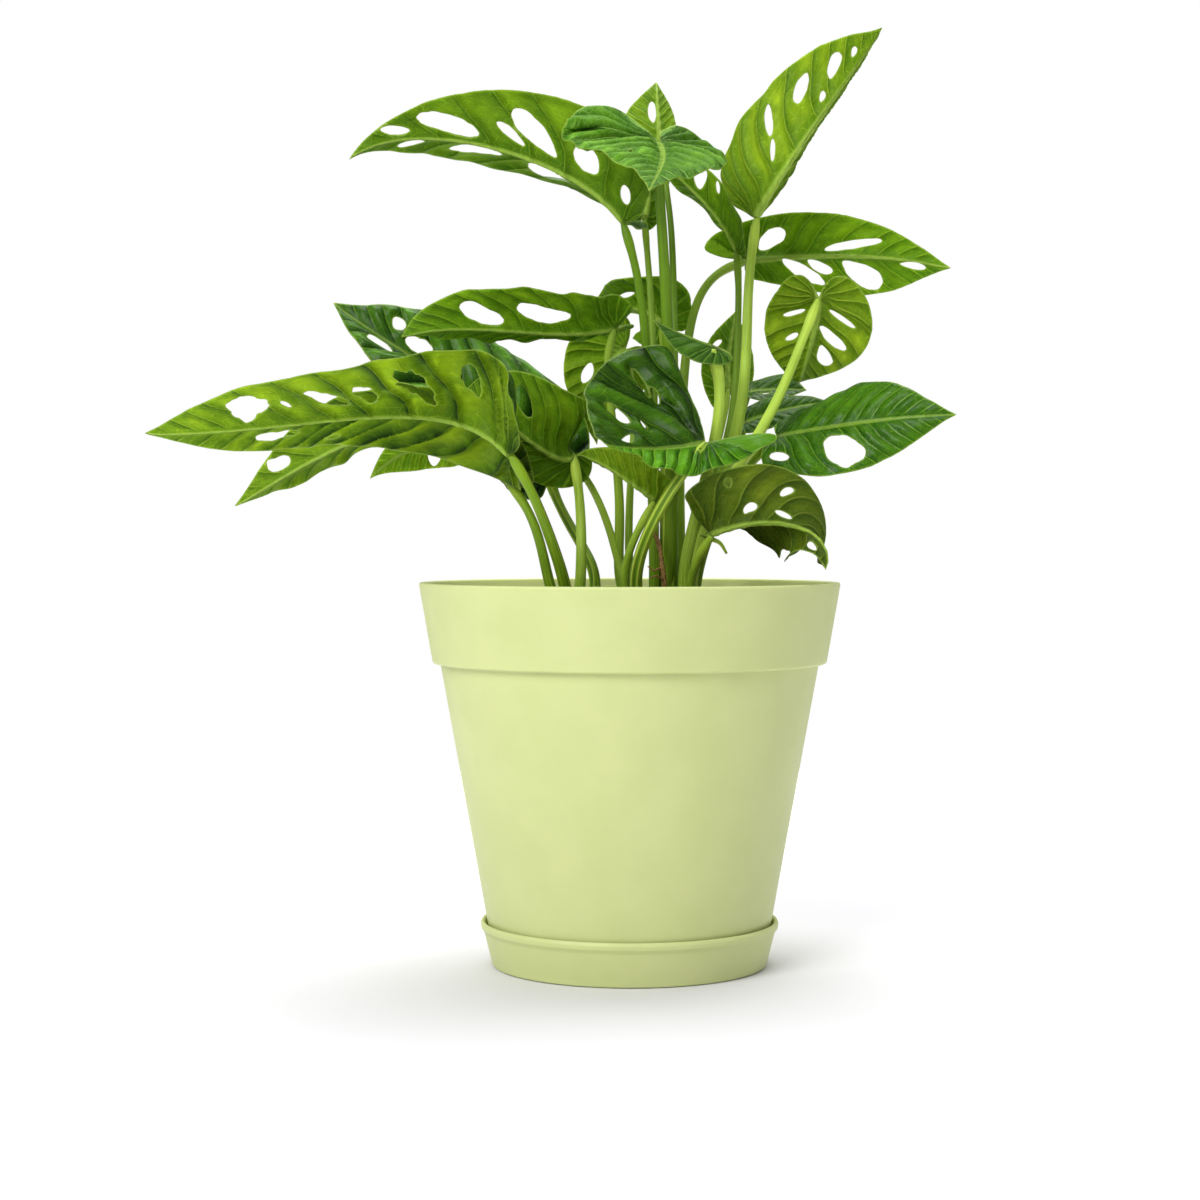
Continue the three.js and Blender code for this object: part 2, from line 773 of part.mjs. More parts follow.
// Triangles that fill a blade's flat pattern, with its edges, its windows and its rib kept as edges.
function patternMesh(blade) {
  const points = [];
  const kept = []; // edges that have to be in the mesh
  const loops = [blade.outline(), ...blade.windows()];
  for (const loop of loops) {
    const start = points.length;
    loop.forEach((p, i) => {
      points.push(p);
      kept.push([start + i, start + ((i + 1) % loop.length)]);
    });
  }
  const windows = loops.slice(1);
  const clear = (w, p) => !contains(w, p) && w.every((q) => distance(p, q) > WINDOW_CLEARANCE);
  const free = (p) => windows.every((w) => clear(w, p));
  const ribCount = Math.max(3, Math.round(blade.length / RIB_SPACING));
  let previous = 0;
  for (let i = 1; i < ribCount; i += 1) {
    points.push([(blade.length * i) / ribCount, 0]);
    kept.push([previous, points.length - 1]);
    previous = points.length - 1;
  }
  kept.push([previous, blade.halfOutline(0).length - 1]);
  for (let along = INNER_SPACING * 0.4; along < blade.length * 0.85; along += INNER_SPACING) {
    for (const side of [-1, 1]) {
      const p = [along, side * 0.5 * blade.leaf.half[side < 0 ? 1 : 0] * (1 - (along / blade.length) ** 3)];
      if (free(p) && contains(loops[0], p)) points.push(p);
    }
  }
  let triangles = [];
  for (let round = 0; round < MESH_ROUNDS; round += 1) {
    triangles = delaunay(points);
    const present = new Set(triangles.flatMap(edgesOf).map(([a, b]) => edgeKey(a, b)));
    const missing = kept.filter(([a, b]) => !present.has(edgeKey(a, b)));
    if (missing.length === 0) break;
    for (const edge of missing) {
      points.push(middle(points[edge[0]], points[edge[1]]));
      kept.splice(kept.indexOf(edge), 1, [edge[0], points.length - 1], [points.length - 1, edge[1]]);
    }
  }
  const inside = triangles.filter((t) => {
    const centre = [0, 1].map((k) => (points[t[0]][k] + points[t[1]][k] + points[t[2]][k]) / 3);
    return contains(loops[0], centre) && windows.every((w) => !contains(w, centre));
  });
  return { points, triangles: inside };
}

function bladeGeometry(blade) {
  const { points, triangles } = patternMesh(blade);
  const top = points.map(([along, across]) => blade.point(along, across));
  const bottom = points.map(([along, across], i) => {
    const onRib = across === 0 && along > 0 && along < blade.length;
    const thickness = onRib ? RIB_THICKNESS : BLADE_THICKNESS;
    return top[i].clone().addScaledVector(blade.normal(along, across), -thickness);
  });
  const count = points.length;
  const faces = [];
  const directed = new Set(triangles.flatMap(edgesOf).map(([a, b]) => a + ">" + b));
  for (const t of triangles) {
    const [a, b, c] = t;
    faces.push([a, b, c], [a + count, c + count, b + count]);
    for (const [from, to] of edgesOf(t)) {
      if (!directed.has(to + ">" + from)) {
        faces.push([from, from + count, to + count], [from, to + count, to]);
      }
    }
  }
  return geometryFrom([...top, ...bottom], faces);
}

// Stalks

function stalkPoints(leaf) {
  const blade = new Blade(leaf);
  const { origin, up } = blade.frame(0);
  const [x, y] = CLUMPS[leaf.clump].centre;
  const rim = leaf.stalk[0];
  const foot = [x + (rim[0] - x) * GATHER, y + (rim[1] - y) * GATHER, STALK_FOOT];
  const joint = origin.addScaledVector(up, -RIB_THICKNESS / 2);
  return smoothThrough([vec(foot), ...leaf.stalk.map(vec), joint], STALK_STEPS);
}

function stalkSolid(leaf, grow) {
  const points = stalkPoints(leaf);
  const [foot, tip] = leaf.thick;
  const radii = points.map((_, i) => THREE.MathUtils.lerp(foot, tip, i / (points.length - 1)) / 2 + grow);
  const [before, end] = points.slice(-2);
  end.addScaledVector(end.clone().sub(before).normalize(), grow);
  return solidOf(bar(points, radii, STALK_SIDES));
}

function rootstockSolid({ centre, radius }, grow) {
  const shoulder = ROOTSTOCK_TOP - 4;
  const profile = [
    [0, ROOTSTOCK_BOTTOM - grow],
    [radius * 0.6 + grow, ROOTSTOCK_BOTTOM - grow],
    [radius + grow, shoulder - 6],
    [radius * 0.9 + grow, shoulder],
    [radius * 0.5 + grow, ROOTSTOCK_TOP - 1],
    [0, ROOTSTOCK_TOP + grow],
  ];
  return solidOf(turned(profile, 14).translate(...centre, 0));
}

function clumpSolid(name, grow) {
  const stalks = LEAVES.filter((leaf) => leaf.clump === name).map((leaf) => stalkSolid(leaf, grow));
  const extra = EXTRA_STEMS.filter((stem) => stem.clump === name).map((stem) => {
    const points = smoothThrough(stem.path.map(vec), STALK_STEPS);
    const thickness = (i) => THREE.MathUtils.lerp(...stem.thick, i / (points.length - 1));
    const radii = points.map((_, i) => thickness(i) / 2 + grow);
    return solidOf(bar(points, radii, STALK_SIDES + 2));
  });
  return [...stalks, ...extra].reduce((sum, stalk) => sum.add(stalk), rootstockSolid(CLUMPS[name], grow));
}

// Pot, saucer and soil

function bodyRadius(height) {
  const share = (height - POT_BASE) / (COLLAR_BOTTOM - POT_BASE);
  return THREE.MathUtils.lerp(POT_FOOT_RADIUS, POT_BODY_TOP_RADIUS, share);
}

function collarRadius(height) {
  const share = (height - COLLAR_BOTTOM) / (RIM_HEIGHT - COLLAR_BOTTOM);
  return THREE.MathUtils.lerp(COLLAR_BOTTOM_RADIUS, RIM_RADIUS, share);
}

// Radius of the hollow: it follows the body, then opens out inside the collar.
function hollowRadius(height) {
  if (height < COLLAR_BOTTOM) return bodyRadius(height) - POT_WALL;
  const share = (height - COLLAR_BOTTOM) / (RIM_HEIGHT - COLLAR_BOTTOM);
  return THREE.MathUtils.lerp(POT_BODY_TOP_RADIUS, RIM_RADIUS, share) - POT_WALL;
}

function potSolid() {
  const floor = POT_BASE + POT_FLOOR;
  const profile = [
    [0, POT_BASE + FOOT_RECESS],
    [FOOT_RECESS_RADIUS, POT_BASE + FOOT_RECESS],
    [FOOT_RECESS_RADIUS + 1.5, POT_BASE],
    [POT_FOOT_RADIUS - 1, POT_BASE],
    [bodyRadius(POT_BASE + 1.2), POT_BASE + 1.2],
    [bodyRadius(COLLAR_BOTTOM), COLLAR_BOTTOM],
    [COLLAR_BOTTOM_RADIUS - 0.8, COLLAR_BOTTOM],
    [collarRadius(COLLAR_BOTTOM + 0.9), COLLAR_BOTTOM + 0.9],
    [collarRadius(RIM_HEIGHT - 0.9), RIM_HEIGHT - 0.9],
    [RIM_RADIUS - 0.8, RIM_HEIGHT],
    [RIM_RADIUS - POT_WALL + 0.6, RIM_HEIGHT],
    [hollowRadius(RIM_HEIGHT - 0.8), RIM_HEIGHT - 0.8],
    [hollowRadius(COLLAR_BOTTOM), COLLAR_BOTTOM],
    [hollowRadius(floor), floor],
    [0, floor],
  ];
  let pot = solidOf(turned(profile));
  for (let i = 0; i < DRAIN_HOLES; i += 1) {
    const angle = (2 * Math.PI * (i + 0.5)) / DRAIN_HOLES;
    const drill = new THREE.CylinderGeometry(DRAIN_RADIUS, DRAIN_RADIUS, 4 * POT_FLOOR, 16);
    drill.rotateX(Math.PI / 2);
    drill.translate(DRAIN_RING_RADIUS * Math.cos(angle), DRAIN_RING_RADIUS * Math.sin(angle), POT_BASE);
    pot = pot.subtract(solidOf(drill));
  }
  return pot;
}

function saucerSolid() {
  const inner = SAUCER_FOOT_RADIUS + 0.9;
  const profile = [
    [0, 0],
    [SAUCER_FOOT_RADIUS - 1, 0],
    [SAUCER_FOOT_RADIUS, 1],
    [SAUCER_RIM_RADIUS - 1.2, SAUCER_HEIGHT - 4.4],
    [SAUCER_RIM_RADIUS, SAUCER_HEIGHT - 3],
    [SAUCER_RIM_RADIUS + 0.2, SAUCER_HEIGHT - 1.4],
    [SAUCER_RIM_RADIUS - 0.6, SAUCER_HEIGHT],
    [SAUCER_RIM_RADIUS - SAUCER_WALL + 0.2, SAUCER_HEIGHT - 0.4],
    [inner, SAUCER_FLOOR + 1],
    [inner - 1, SAUCER_FLOOR],
    [0, SAUCER_FLOOR],
  ];
  return solidOf(turned(profile));
}

// Rise and fall of the soil's top at a place.
function soilBump(x, y) {
  const swell = Math.sin(x * 0.11 + 1) * Math.cos(y * 0.13);
  const lumps = Math.sin(x * 0.37 + y * 0.21) * Math.cos(y * 0.41 - x * 0.17 + 2);
  return SOIL_BUMP * (0.6 * swell + 0.5 * lumps);
}

function soilSolid() {
  const bottom = POT_BASE + POT_FLOOR + GAP;
  const reach = (height) => hollowRadius(height) - SOIL_CLEARANCE;
  const profile = [
    [0, bottom],
    [reach(bottom), bottom],
    [reach(COLLAR_BOTTOM), COLLAR_BOTTOM],
    [reach(SOIL_LEVEL - 1.5), SOIL_LEVEL - 1.5],
  ];
  for (const share of SOIL_RINGS) {
    profile.push([reach(SOIL_LEVEL) * share, SOIL_LEVEL]);
  }
  profile.push([0, SOIL_LEVEL]);
  const geometry = turned(profile, SOIL_SIDES);
  const place = geometry.getAttribute("position");
  for (let i = 0; i < place.count; i += 1) {
    if (place.getZ(i) > SOIL_LEVEL - 0.1) {
      place.setZ(i, SOIL_LEVEL + soilBump(place.getX(i), place.getY(i)));
    }
  }
  return solidOf(geometry);
}

// Materials

const potPlastic = new THREE.MeshStandardMaterial({ color: 0xd3dd98, roughness: 0.5, metalness: 0 });
const soilMix = new THREE.MeshStandardMaterial({ color: 0x2e2219, roughness: 1, metalness: 0 });
const stalkGreen = new THREE.MeshStandardMaterial({ color: 0x6f9a3a, roughness: 0.5, metalness: 0 });
const bladeGreen = new THREE.MeshStandardMaterial({ color: 0x3f7a24, roughness: 0.45, metalness: 0 });
const dryBrown = new THREE.MeshStandardMaterial({ color: 0x7a5230, roughness: 0.8, metalness: 0 });

// Assembly

const plant = new THREE.Group();
plant.name = "potted_monstera_adansonii";
plant.add(meshOf("saucer", geometryOf(saucerSolid()), potPlastic));
plant.add(meshOf("pot", geometryOf(potSolid()), potPlastic));

let soil = soilSolid();
for (const name of Object.keys(CLUMPS)) {
  soil = soil.subtract(clumpSolid(name, GAP));
  plant.add(meshOf("stems_" + name, geometryOf(clumpSolid(name, 0)), stalkGreen));
}
const rootThickness = (share) => AERIAL_ROOT.thick[share < 0.5 ? 0 : 1];
const rootRadii = (points, grow) => points.map((_, i) => rootThickness(i / points.length) / 2 + grow);
const rootPoints = smoothThrough(AERIAL_ROOT.path.map(vec), STALK_STEPS);
soil = soil.subtract(solidOf(bar(rootPoints, rootRadii(rootPoints, GAP), STALK_SIDES)));
plant.add(meshOf("aerial_root", bar(rootPoints, rootRadii(rootPoints, 0), STALK_SIDES), dryBrown));
plant.add(meshOf("soil", geometryOf(soil), soilMix));

for (const leaf of LEAVES) {
  const blade = solidOf(bladeGeometry(new Blade(leaf)));
  plant.add(meshOf(leaf.name, geometryOf(blade.subtract(stalkSolid(leaf, GAP))), bladeGreen));
}

export default plant;
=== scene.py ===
"""Potted Swiss cheese vine (Monstera adansonii): the finished pieces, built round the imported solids.

The tables and the shape functions work in millimetres, in the part's own frame: +Z up, front towards -Y, the
pot's axis on the Z axis. Meshes are turned into metres when they are made.
"""
import math
import bpy
import numpy as np
from bpy.props import FloatProperty, FloatVectorProperty, IntProperty, PointerProperty
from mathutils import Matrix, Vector, noise
from mathutils.geometry import delaunay_2d_cdt


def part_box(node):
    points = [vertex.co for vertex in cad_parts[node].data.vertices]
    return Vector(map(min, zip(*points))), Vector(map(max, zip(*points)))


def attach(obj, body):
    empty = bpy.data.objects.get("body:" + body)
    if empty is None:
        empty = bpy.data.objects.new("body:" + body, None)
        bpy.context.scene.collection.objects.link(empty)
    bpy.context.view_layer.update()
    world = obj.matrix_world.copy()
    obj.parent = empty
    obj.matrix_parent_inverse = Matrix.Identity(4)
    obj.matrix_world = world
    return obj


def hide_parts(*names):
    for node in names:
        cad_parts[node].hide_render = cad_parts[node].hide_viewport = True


bl_info = {
    "name": "Potted Swiss cheese vine",
    "version": (1, 0, 0),
    "blender": (4, 5, 0),
    "location": "View3D > Sidebar > Potted Vine",
    "description": "Builds a potted Swiss cheese vine round its packed solids",
    "category": "Object",
}

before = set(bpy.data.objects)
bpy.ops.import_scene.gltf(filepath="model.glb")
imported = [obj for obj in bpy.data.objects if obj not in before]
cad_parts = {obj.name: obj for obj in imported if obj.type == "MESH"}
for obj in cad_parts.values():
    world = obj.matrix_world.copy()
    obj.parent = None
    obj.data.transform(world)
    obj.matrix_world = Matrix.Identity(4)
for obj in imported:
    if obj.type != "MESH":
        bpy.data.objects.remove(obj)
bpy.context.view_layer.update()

MM = 0.001
BODY = "root"

# The leaves, in millimetres and degrees. Values in pairs are for the left and the right half, unless stated.
# tone: its green. clump: the rootstock that its stalk rises from. skin: how pale the stalk is, from 0 to 1.
# light: painted light and shade of each half, as a brightness. base: the share of it kept near the stalk, where the
# blade is painted darker. wave: height of the waves of the edge.
# quilt: swelling between the veins, which also sets how strongly its folds are painted light and dark. ragged:
# unevenness of the windows. fan: veins rooted nearer than this start at the stalk.
# half: half width. fold: up from the rib. curl: further out. taper: how fast it narrows. lobe: reach of the basal
# lobe. thick: the stalk at its foot and at its end. rib: the four handles of the middle rib from stalk to tip.
# face: where the upper side looks at both ends. windows: place along the rib, place across it, length, width and
# turn. stalk: the points it passes through from the pot's rim upwards.
COMMON = dict(wave=0.35, light=(1, 1), ragged=0.1, fan=0, quilt=1, base=1, lobe=(8, 8), windows=())
LEAVES = [
    dict(
        COMMON, name="upper_left", tone="fresh", clump="centre", skin=0.08, light=(0.82, 0.82),
        half=(25, 20), fold=(29, 18), curl=(5, -6), taper=(0.5, 0.5), thick=(4.4, 3), lobe=(4, 3),
        rib=((-1, -1, 264), (-18, 4, 289), (-79, -19, 301), (-96, -31, 281)), face=((0, 0.1, 1), (0, 0.8, 0.5)),
        windows=(
            (91, 3, 10, 3, 10), (85, -3, 11, 3, -5), (73, 5, 23, 6, 10), (60, -6, 19, 7, -5), (51, 6, 13, 3, 25),
            (43, 9, 21, 7, 30), (32, -9, 17, 11, 15), (24, 9, 12, 8, 35), (6, 8, 7, 5, 55),
        ),
        stalk=((9, -2, 136), (8, -2, 172), (6, -2, 220), (2, -2, 250)),
    ),
    dict(
        COMMON, name="top_front", tone="silvery", clump="centre", skin=0.1, light=(1.05, 1.3), wave=0.8, fan=14,
        quilt=1.3, base=0.95,
        half=(21, 31), fold=(0, 13), curl=(-11, -12), taper=(0.6, 0.8), thick=(5.8, 3.4), lobe=(14, 18),
        rib=((10, -27, 288), (13, -38, 280), (10, -76, 272), (6, -90, 262)), face=((0, 0.1, 1), (0.1, -0.6, 0.8)),
        windows=((27, -11, 10, 2, 0),),
        stalk=((14, 0, 136), (15, -3, 172), (14, -7, 211), (12, -15, 248), (10, -21, 276)),
    ),
    dict(
        COMMON, name="top_right", tone="lime", clump="right", skin=0.9, light=(0.93, 0.95), ragged=0.3,
        half=(20, 26), fold=(40, 40), curl=(40, 40), taper=(0, 0), thick=(5.6, 3.2), lobe=(3, 4),
        rib=((45, 5, 267), (55, -15, 284), (78, -4, 316), (86, -29, 326)),
        face=((-0.2, 0.9, 0.5), (-0.5, 0.8, 0.4)),
        windows=(
            (59, -6, 10, 4, -15), (46, -11, 10, 5, -20), (31, -15, 12, 3, -45), (23, -7, 8, 2, -35),
            (48, -3, 4, 2, -20), (67, -3, 4, 2, -15),
        ),
        stalk=((20.5, 0, 136), (24, -1, 154), (36, -3, 181), (41, -1, 208), (42, 2, 240), (44, 4, 258)),
    ),
    dict(
        COMMON, name="right_upper", tone="fresh", clump="centre", skin=0.4, light=(1.15, 1.15),
        half=(14, 16), fold=(10, 12), curl=(-11, -11), taper=(-1.3, 0.1), thick=(4.8, 3), lobe=(2, 16),
        rib=((44, 36, 254), (68, 32, 256), (94, 24, 256), (116, 16, 249)), face=((0, 1, 0.2), (0, 0.9, 0.5)),
        windows=(
            (9, -7, 12, 6, -30), (39, -4, 22, 3, -10), (20, 6, 18, 5, 35), (26, 4, 10, 4, 30), (42, 7, 17, 8, 30),
            (61, 2, 10, 3, 0),
        ),
        stalk=((18, 18, 136), (18, 22, 173), (20, 28, 213), (24, 33, 239), (32, 36, 252)),
    ),
    dict(
        COMMON, name="right_heart", tone="moss", clump="right", skin=1, light=(1.05, 1.1), ragged=0.15, fan=4,
        half=(18, 20), fold=(11, 5), curl=(-10, -11), taper=(-0.1, -0.1), thick=(5.6, 3), lobe=(8, 9),
        rib=((66, -14, 236), (67, -6, 227), (60, 6, 207), (61, 14, 208)), face=((0.2, 0.8, 0.6), (-0.1, 0.8, 0.6)),
        windows=(
            (9, 8, 9, 2, 55), (19, 7, 5, 2, 45), (8, -9, 12, 2, -60), (16, -7, 13, 4, -55), (24, -6, 10, 5, -30),
        ),
        stalk=((21, -8, 136), (25, -9, 154), (41, -12, 181), (52, -14, 200), (61, -16, 223)),
    ),
    dict(
        COMMON, name="right_low", tone="deep", clump="right", skin=0.3, light=(1.2, 1.2), quilt=1.2,
        half=(21, 20), fold=(6, 2), curl=(-40, -22), taper=(0.2, 0.2), thick=(4.4, 3), lobe=(3, 4),
        rib=((52, -7, 188), (71, -16, 191), (91, -25, 194), (112, -30, 194)), face=((0, -0.6, 0.8), (0, -1, 0)),
        windows=((25, -10, 16, 11, -35), (3, -12, 8, 4, -20)),
        stalk=((23, -3, 136), (28, -4, 154), (36, -5, 168), (43, -7, 181)),
    ),
    dict(
        COMMON, name="right_drooping", tone="olive", clump="right", skin=0.4, light=(0.73, 0.78), wave=0.8,
        ragged=0.3,
        half=(21, 20), fold=(33, 40), curl=(-5, -11), taper=(0, 0), thick=(4, 2.8), lobe=(8, 2),
        rib=((28, -28, 154), (45, -37, 161), (68, -27, 158), (66, -44, 141)),
        face=((-0.4, 0.6, 0.7), (-0.8, 0.6, 0)),
        windows=(
            (25, -11, 5, 2, -50), (14, -5, 4, 2, -60), (25, -3, 6, 2, 15), (41, 3, 6, 3, 10), (31, 18, 16, 9, -75),
            (10, -15, 4, 1.5, -88), (15, -5, 4, 3, -29),
        ),
        stalk=((20.5, -17, 136), (22, -22, 144), (25, -27, 149)),
    ),
    dict(
        COMMON, name="centre_front", tone="deep", clump="centre", skin=0.6, light=(2.5, 0.8), wave=1.1, ragged=0.5,
        fan=12, quilt=1.6, base=0.8,
        half=(13, 40), fold=(-13, 14), curl=(-7, 26), taper=(0.5, 0.5), thick=(5.2, 3.6), lobe=(24, 2),
        rib=((26, -30, 185), (15, -32, 182), (1, -41, 182), (-8, -67, 183)),
        face=((0.2, -0.5, 0.9), (0.1, -0.4, 0.9)),
        windows=(
            (12, -29, 12, 2, -80), (9, -24, 7, 2, -85), (25, -17, 11, 4, -73), (18, -11, 5, 2, 80),
            (29, -5, 8, 3, 30),
        ),
        stalk=((1, -19, 136), (4, -27, 148), (11, -36, 164), (22, -35, 179)),
    ),
    dict(
        COMMON, name="centre_under", tone="moss", clump="centre", skin=0.6, light=(1.3, 1.3),
        half=(12, 11), fold=(13, 25), curl=(-11, 18), taper=(0.3, 0.3), thick=(3.8, 2.4), lobe=(4, 4),
        rib=((9, -17, 166), (1, -23, 172), (-16, -21, 184), (-18, -28, 180)), face=((0, 0.3, 1), (0, 0.7, 0.7)),
        stalk=((-4, -11, 136), (0, -14, 148), (5, -17, 160)),
    ),
    dict(
        COMMON, name="left_inner", tone="fresh", clump="left", skin=1, light=(0.92, 0.92),
        half=(25, 12), fold=(3, -3), curl=(-29, -13), taper=(0.1, 0.1), thick=(4.6, 3.2), lobe=(2, 8),
        rib=((-21, 3, 181), (-27, -4, 176), (-48, -16, 198), (-58, 8, 205)), face=((0.1, 0.9, 0.3), (0, 0.9, 0.3)),
        windows=((28, 10, 11, 5, 35),),
        stalk=((-17, -10, 136), (-17, -6, 155), (-18, 1, 172)),
    ),
    dict(
        COMMON, name="left_dark", tone="deep", clump="left", skin=0.2, light=(0.95, 0.95), ragged=0.6, quilt=2,
        half=(19, 27), fold=(14, 17), curl=(-7, -40), taper=(-0.3, -0.3), thick=(4.8, 3.4), lobe=(8, 9),
        rib=((-31, 33, 176), (-43, 36, 201), (-87, 21, 220), (-110, 38, 239)),
        face=((-0.6, -0.4, 0.7), (-0.1, -0.8, 0.6)),
        windows=((78, 3, 11, 3, 0), (77, -8, 6, 5, -35), (66, -5, 11, 6, 5)),
        stalk=((-10, 6, 136), (-15, 14, 145), (-23, 24, 158), (-29, 32, 169)),
    ),
    dict(
        COMMON, name="left_long", tone="lime", clump="left", skin=0.05, wave=0.3, ragged=1, quilt=1.8, base=0.8,
        half=(32, 20), fold=(5, -11), curl=(12, 6), taper=(0.1, 0.1), thick=(5.2, 3.4), lobe=(6, 4),
        rib=((-40, -30, 181), (-67, -3, 209), (-112, -80, 185), (-162, -52, 187)),
        face=((0, 0.6, 0.8), (0.8, 0.4, 0.4)),
        windows=(
            (99, 9, 14, 10, -5), (88, 10, 6, 2, 45), (74, 11, 19, 5, 30), (62, 12, 13, 5, 40), (45, 15, 26, 7, 40),
            (25, 20, 16, 6, 45), (89, -6, 16, 4, 0), (66, -13, 5, 3, 0),
        ),
        stalk=((-22, -24, 137), (-26, -27, 148), (-30, -30, 160), (-35, -31, 172)),
    ),
    dict(
        COMMON, name="left_lower", tone="lime", clump="left", skin=0.1, light=(0.88, 0.88), wave=0.9, ragged=0.6,
        quilt=1.5, base=0.85,
        half=(19, 15), fold=(15, 25), curl=(-8, 4), taper=(-0.3, -0.3), thick=(4.4, 3),
        rib=((-43, -9, 173), (-70, -7, 210), (-107, -8, 183), (-141, 1, 163)),
        face=((0, 0.4, 0.9), (0.1, 0.8, 0.5)),
        windows=((89, 5, 9, 5, 15), (54, -7, 11, 2, -80)),
        stalk=((-29, -12, 136), (-30, -13, 148), (-34, -12, 160), (-39, -10, 169)),
    ),
    dict(
        COMMON, name="left_small", tone="lime", clump="centre", skin=0.8, light=(1.5, 1.5), wave=0.6,
        half=(10, 12), fold=(12, 11), curl=(-10, -11), taper=(0.2, 0.2), thick=(3.4, 2.2), lobe=(5, 5),
        rib=((-54, 14, 188), (-64, 13, 192), (-86, 13, 183), (-94, 14, 173)), face=((0.1, 0.9, 0.4), (0, 0.9, 0.4)),
        windows=((28, 4, 10, 2, 10), (19, -6, 8, 5, -70)),
        stalk=((-3, 9, 136), (-5, 11, 149), (-16, 13, 176), (-30, 14, 186), (-44, 14, 187)),
    ),
    dict(
        COMMON, name="left_middle", tone="fresh", clump="centre", skin=0.4, light=(1.15, 1.15), wave=0.7,
        half=(20, 14), fold=(9, 27), curl=(-16, 5), taper=(-0.3, -0.3), thick=(4.4, 2.6),
        rib=((-6, 14, 228), (-28, 12, 222), (-58, -16, 230), (-82, 10, 224)), face=((0, 0.6, 0.8), (0.1, 0.8, 0.6)),
        windows=((49, 6, 16, 7, 25), (28, 8, 21, 7, 10)),
        stalk=((-5, 12, 136), (-3, 11, 155), (-5, 12, 183), (-8, 13, 209), (-10, 14, 221)),
    ),
    dict(
        COMMON, name="centre_behind", tone="lime", clump="centre", skin=0.5, wave=0.6,
        half=(16, 15), fold=(15, 12), curl=(-12, -10), taper=(0.9, 0.9), thick=(3.6, 2.2),
        rib=((-2, 44, 222), (-12, 43, 214), (-15, 41, 200), (-12, 41, 186)), face=((0, 0.9, 0.4), (0.1, 0.9, 0.4)),
        windows=((14, 6, 7, 4, 0),),
        stalk=((0, 22, 136), (0, 30, 166), (2, 38, 203)),
    ),
    dict(
        COMMON, name="back_centre", tone="fresh", clump="centre", skin=0.4,
        half=(16, 12), fold=(9, 16), curl=(-12, -5), taper=(0.2, 0.2), thick=(4, 2.4),
        rib=((11, 34, 231), (4, 34, 240), (-4, 44, 239), (-14, 46, 240)), face=((-0.6, 0.5, 0.6), (0, 0.7, 0.7)),
        windows=((14, 5, 8, 2, -30),),
        stalk=((13, 26, 135), (13, 32, 173), (14, 37, 210)),
    ),
    dict(
        COMMON, name="top_back", tone="lime", clump="centre", skin=0.15, wave=0.6,
        half=(6, 13), fold=(14, 13), curl=(-9, -9), taper=(-1.2, -0.9), thick=(3.8, 2.2),
        rib=((12, 35, 288), (11, 40, 300), (10, 45, 312), (10, 50, 322)), face=((0, 0.9, 0.3), (-0.1, 0.9, 0.4)),
        windows=((24, -2, 9, 3, -3),),
        stalk=((14, 8, 136), (16, 10, 187), (16, 15, 234), (15, 28, 270)),
    ),
    dict(
        COMMON, name="top_middle", tone="fresh", clump="right", skin=0.2, wave=0.6,
        half=(12, 8), fold=(6, 25), curl=(-13, -9), taper=(-0.3, -0.3), thick=(4, 2.4), lobe=(4, 4),
        rib=((40, 22, 256), (32, 26, 277), (13, 24, 283), (6, 27, 300)), face=((0.8, 0.3, 0.5), (0.1, 0.9, 0.5)),
        windows=((29, 6, 9, 5, 70), (22, 9, 5, 2, 45)),
        stalk=((20, 7, 136), (24, 9, 154), (32, 12, 175), (38, 14, 200), (39, 17, 227), (40, 19, 247)),
    ),
    dict(
        COMMON, name="centre_small", tone="fresh", clump="right", skin=0.95, fan=4, quilt=0.7,
        half=(9, 6), fold=(-68, -30), curl=(-17, -3), taper=(0.1, 0.1), thick=(4.8, 4),
        rib=((29, -21, 219), (22, -23, 221), (15, -25, 224), (8, -27, 227)), face=((0, 0.1, 1), (0, 0.1, 1)),
        stalk=((18, -9, 136), (22, -10, 154), (31, -11, 190), (32, -17, 211)),
    ),
    dict(
        COMMON, name="back_right", tone="fresh", clump="right", skin=0.4,
        half=(10, 10), fold=(9, 11), curl=(-11, -10), taper=(0, 0), thick=(3.2, 2),
        rib=((37, 47, 207), (36, 49, 217), (38, 51, 227), (40, 53, 237)), face=((0, 1, 0.3), (0, 1, 0.2)),
        windows=((17, -5, 5, 2, 40), (14, -4, 4, 2, 70)),
        stalk=((24, 17, 136), (28, 30, 169), (36, 41, 197)),
    ),
    dict(
        COMMON, name="back_low", tone="deep", clump="right", skin=0.2, quilt=1.2,
        half=(9, 9), fold=(10, 9), curl=(-14, -10), taper=(-0.1, -0.1), thick=(3, 1.8), lobe=(4, 4),
        rib=((44, 36, 206), (51, 34, 207), (58, 32, 207), (65, 30, 206)), face=((0, -0.5, 0.9), (0, -0.8, 0.6)),
        windows=((7, -3, 4, 2, 10),),
        stalk=((24, 10, 136), (28, 18, 154), (35, 30, 176), (40, 33, 195)),
    ),
    dict(
        COMMON, name="back_lower", tone="deep", clump="right", skin=0.2, quilt=1.2,
        half=(9, 9), fold=(7, 9), curl=(-19, -9), taper=(0, 0), thick=(3, 1.8), lobe=(4, 4),
        rib=((42, 18, 194), (52, 17, 198), (62, 16, 200), (72, 14, 201)), face=((0, -0.6, 0.8), (0, -0.7, 0.7)),
        stalk=((24, 4, 136), (28, 8, 154), (34, 13, 170), (39, 18, 184)),
    ),
    dict(
        COMMON, name="top_small", tone="deep", clump="centre", skin=0.3,
        half=(6, 6), fold=(12, 12), curl=(-10, -10), taper=(0.1, 0.1), thick=(3.6, 2.2), lobe=(4, 4),
        rib=((5, 24, 268), (7, 26, 273), (7, 29, 278), (7, 31, 284)), face=((0, 0.9, 0.5), (0, 0.9, 0.5)),
        stalk=((9, 8, 136), (9, 7, 187), (8, 12, 233), (6, 21, 259)),
    ),
]

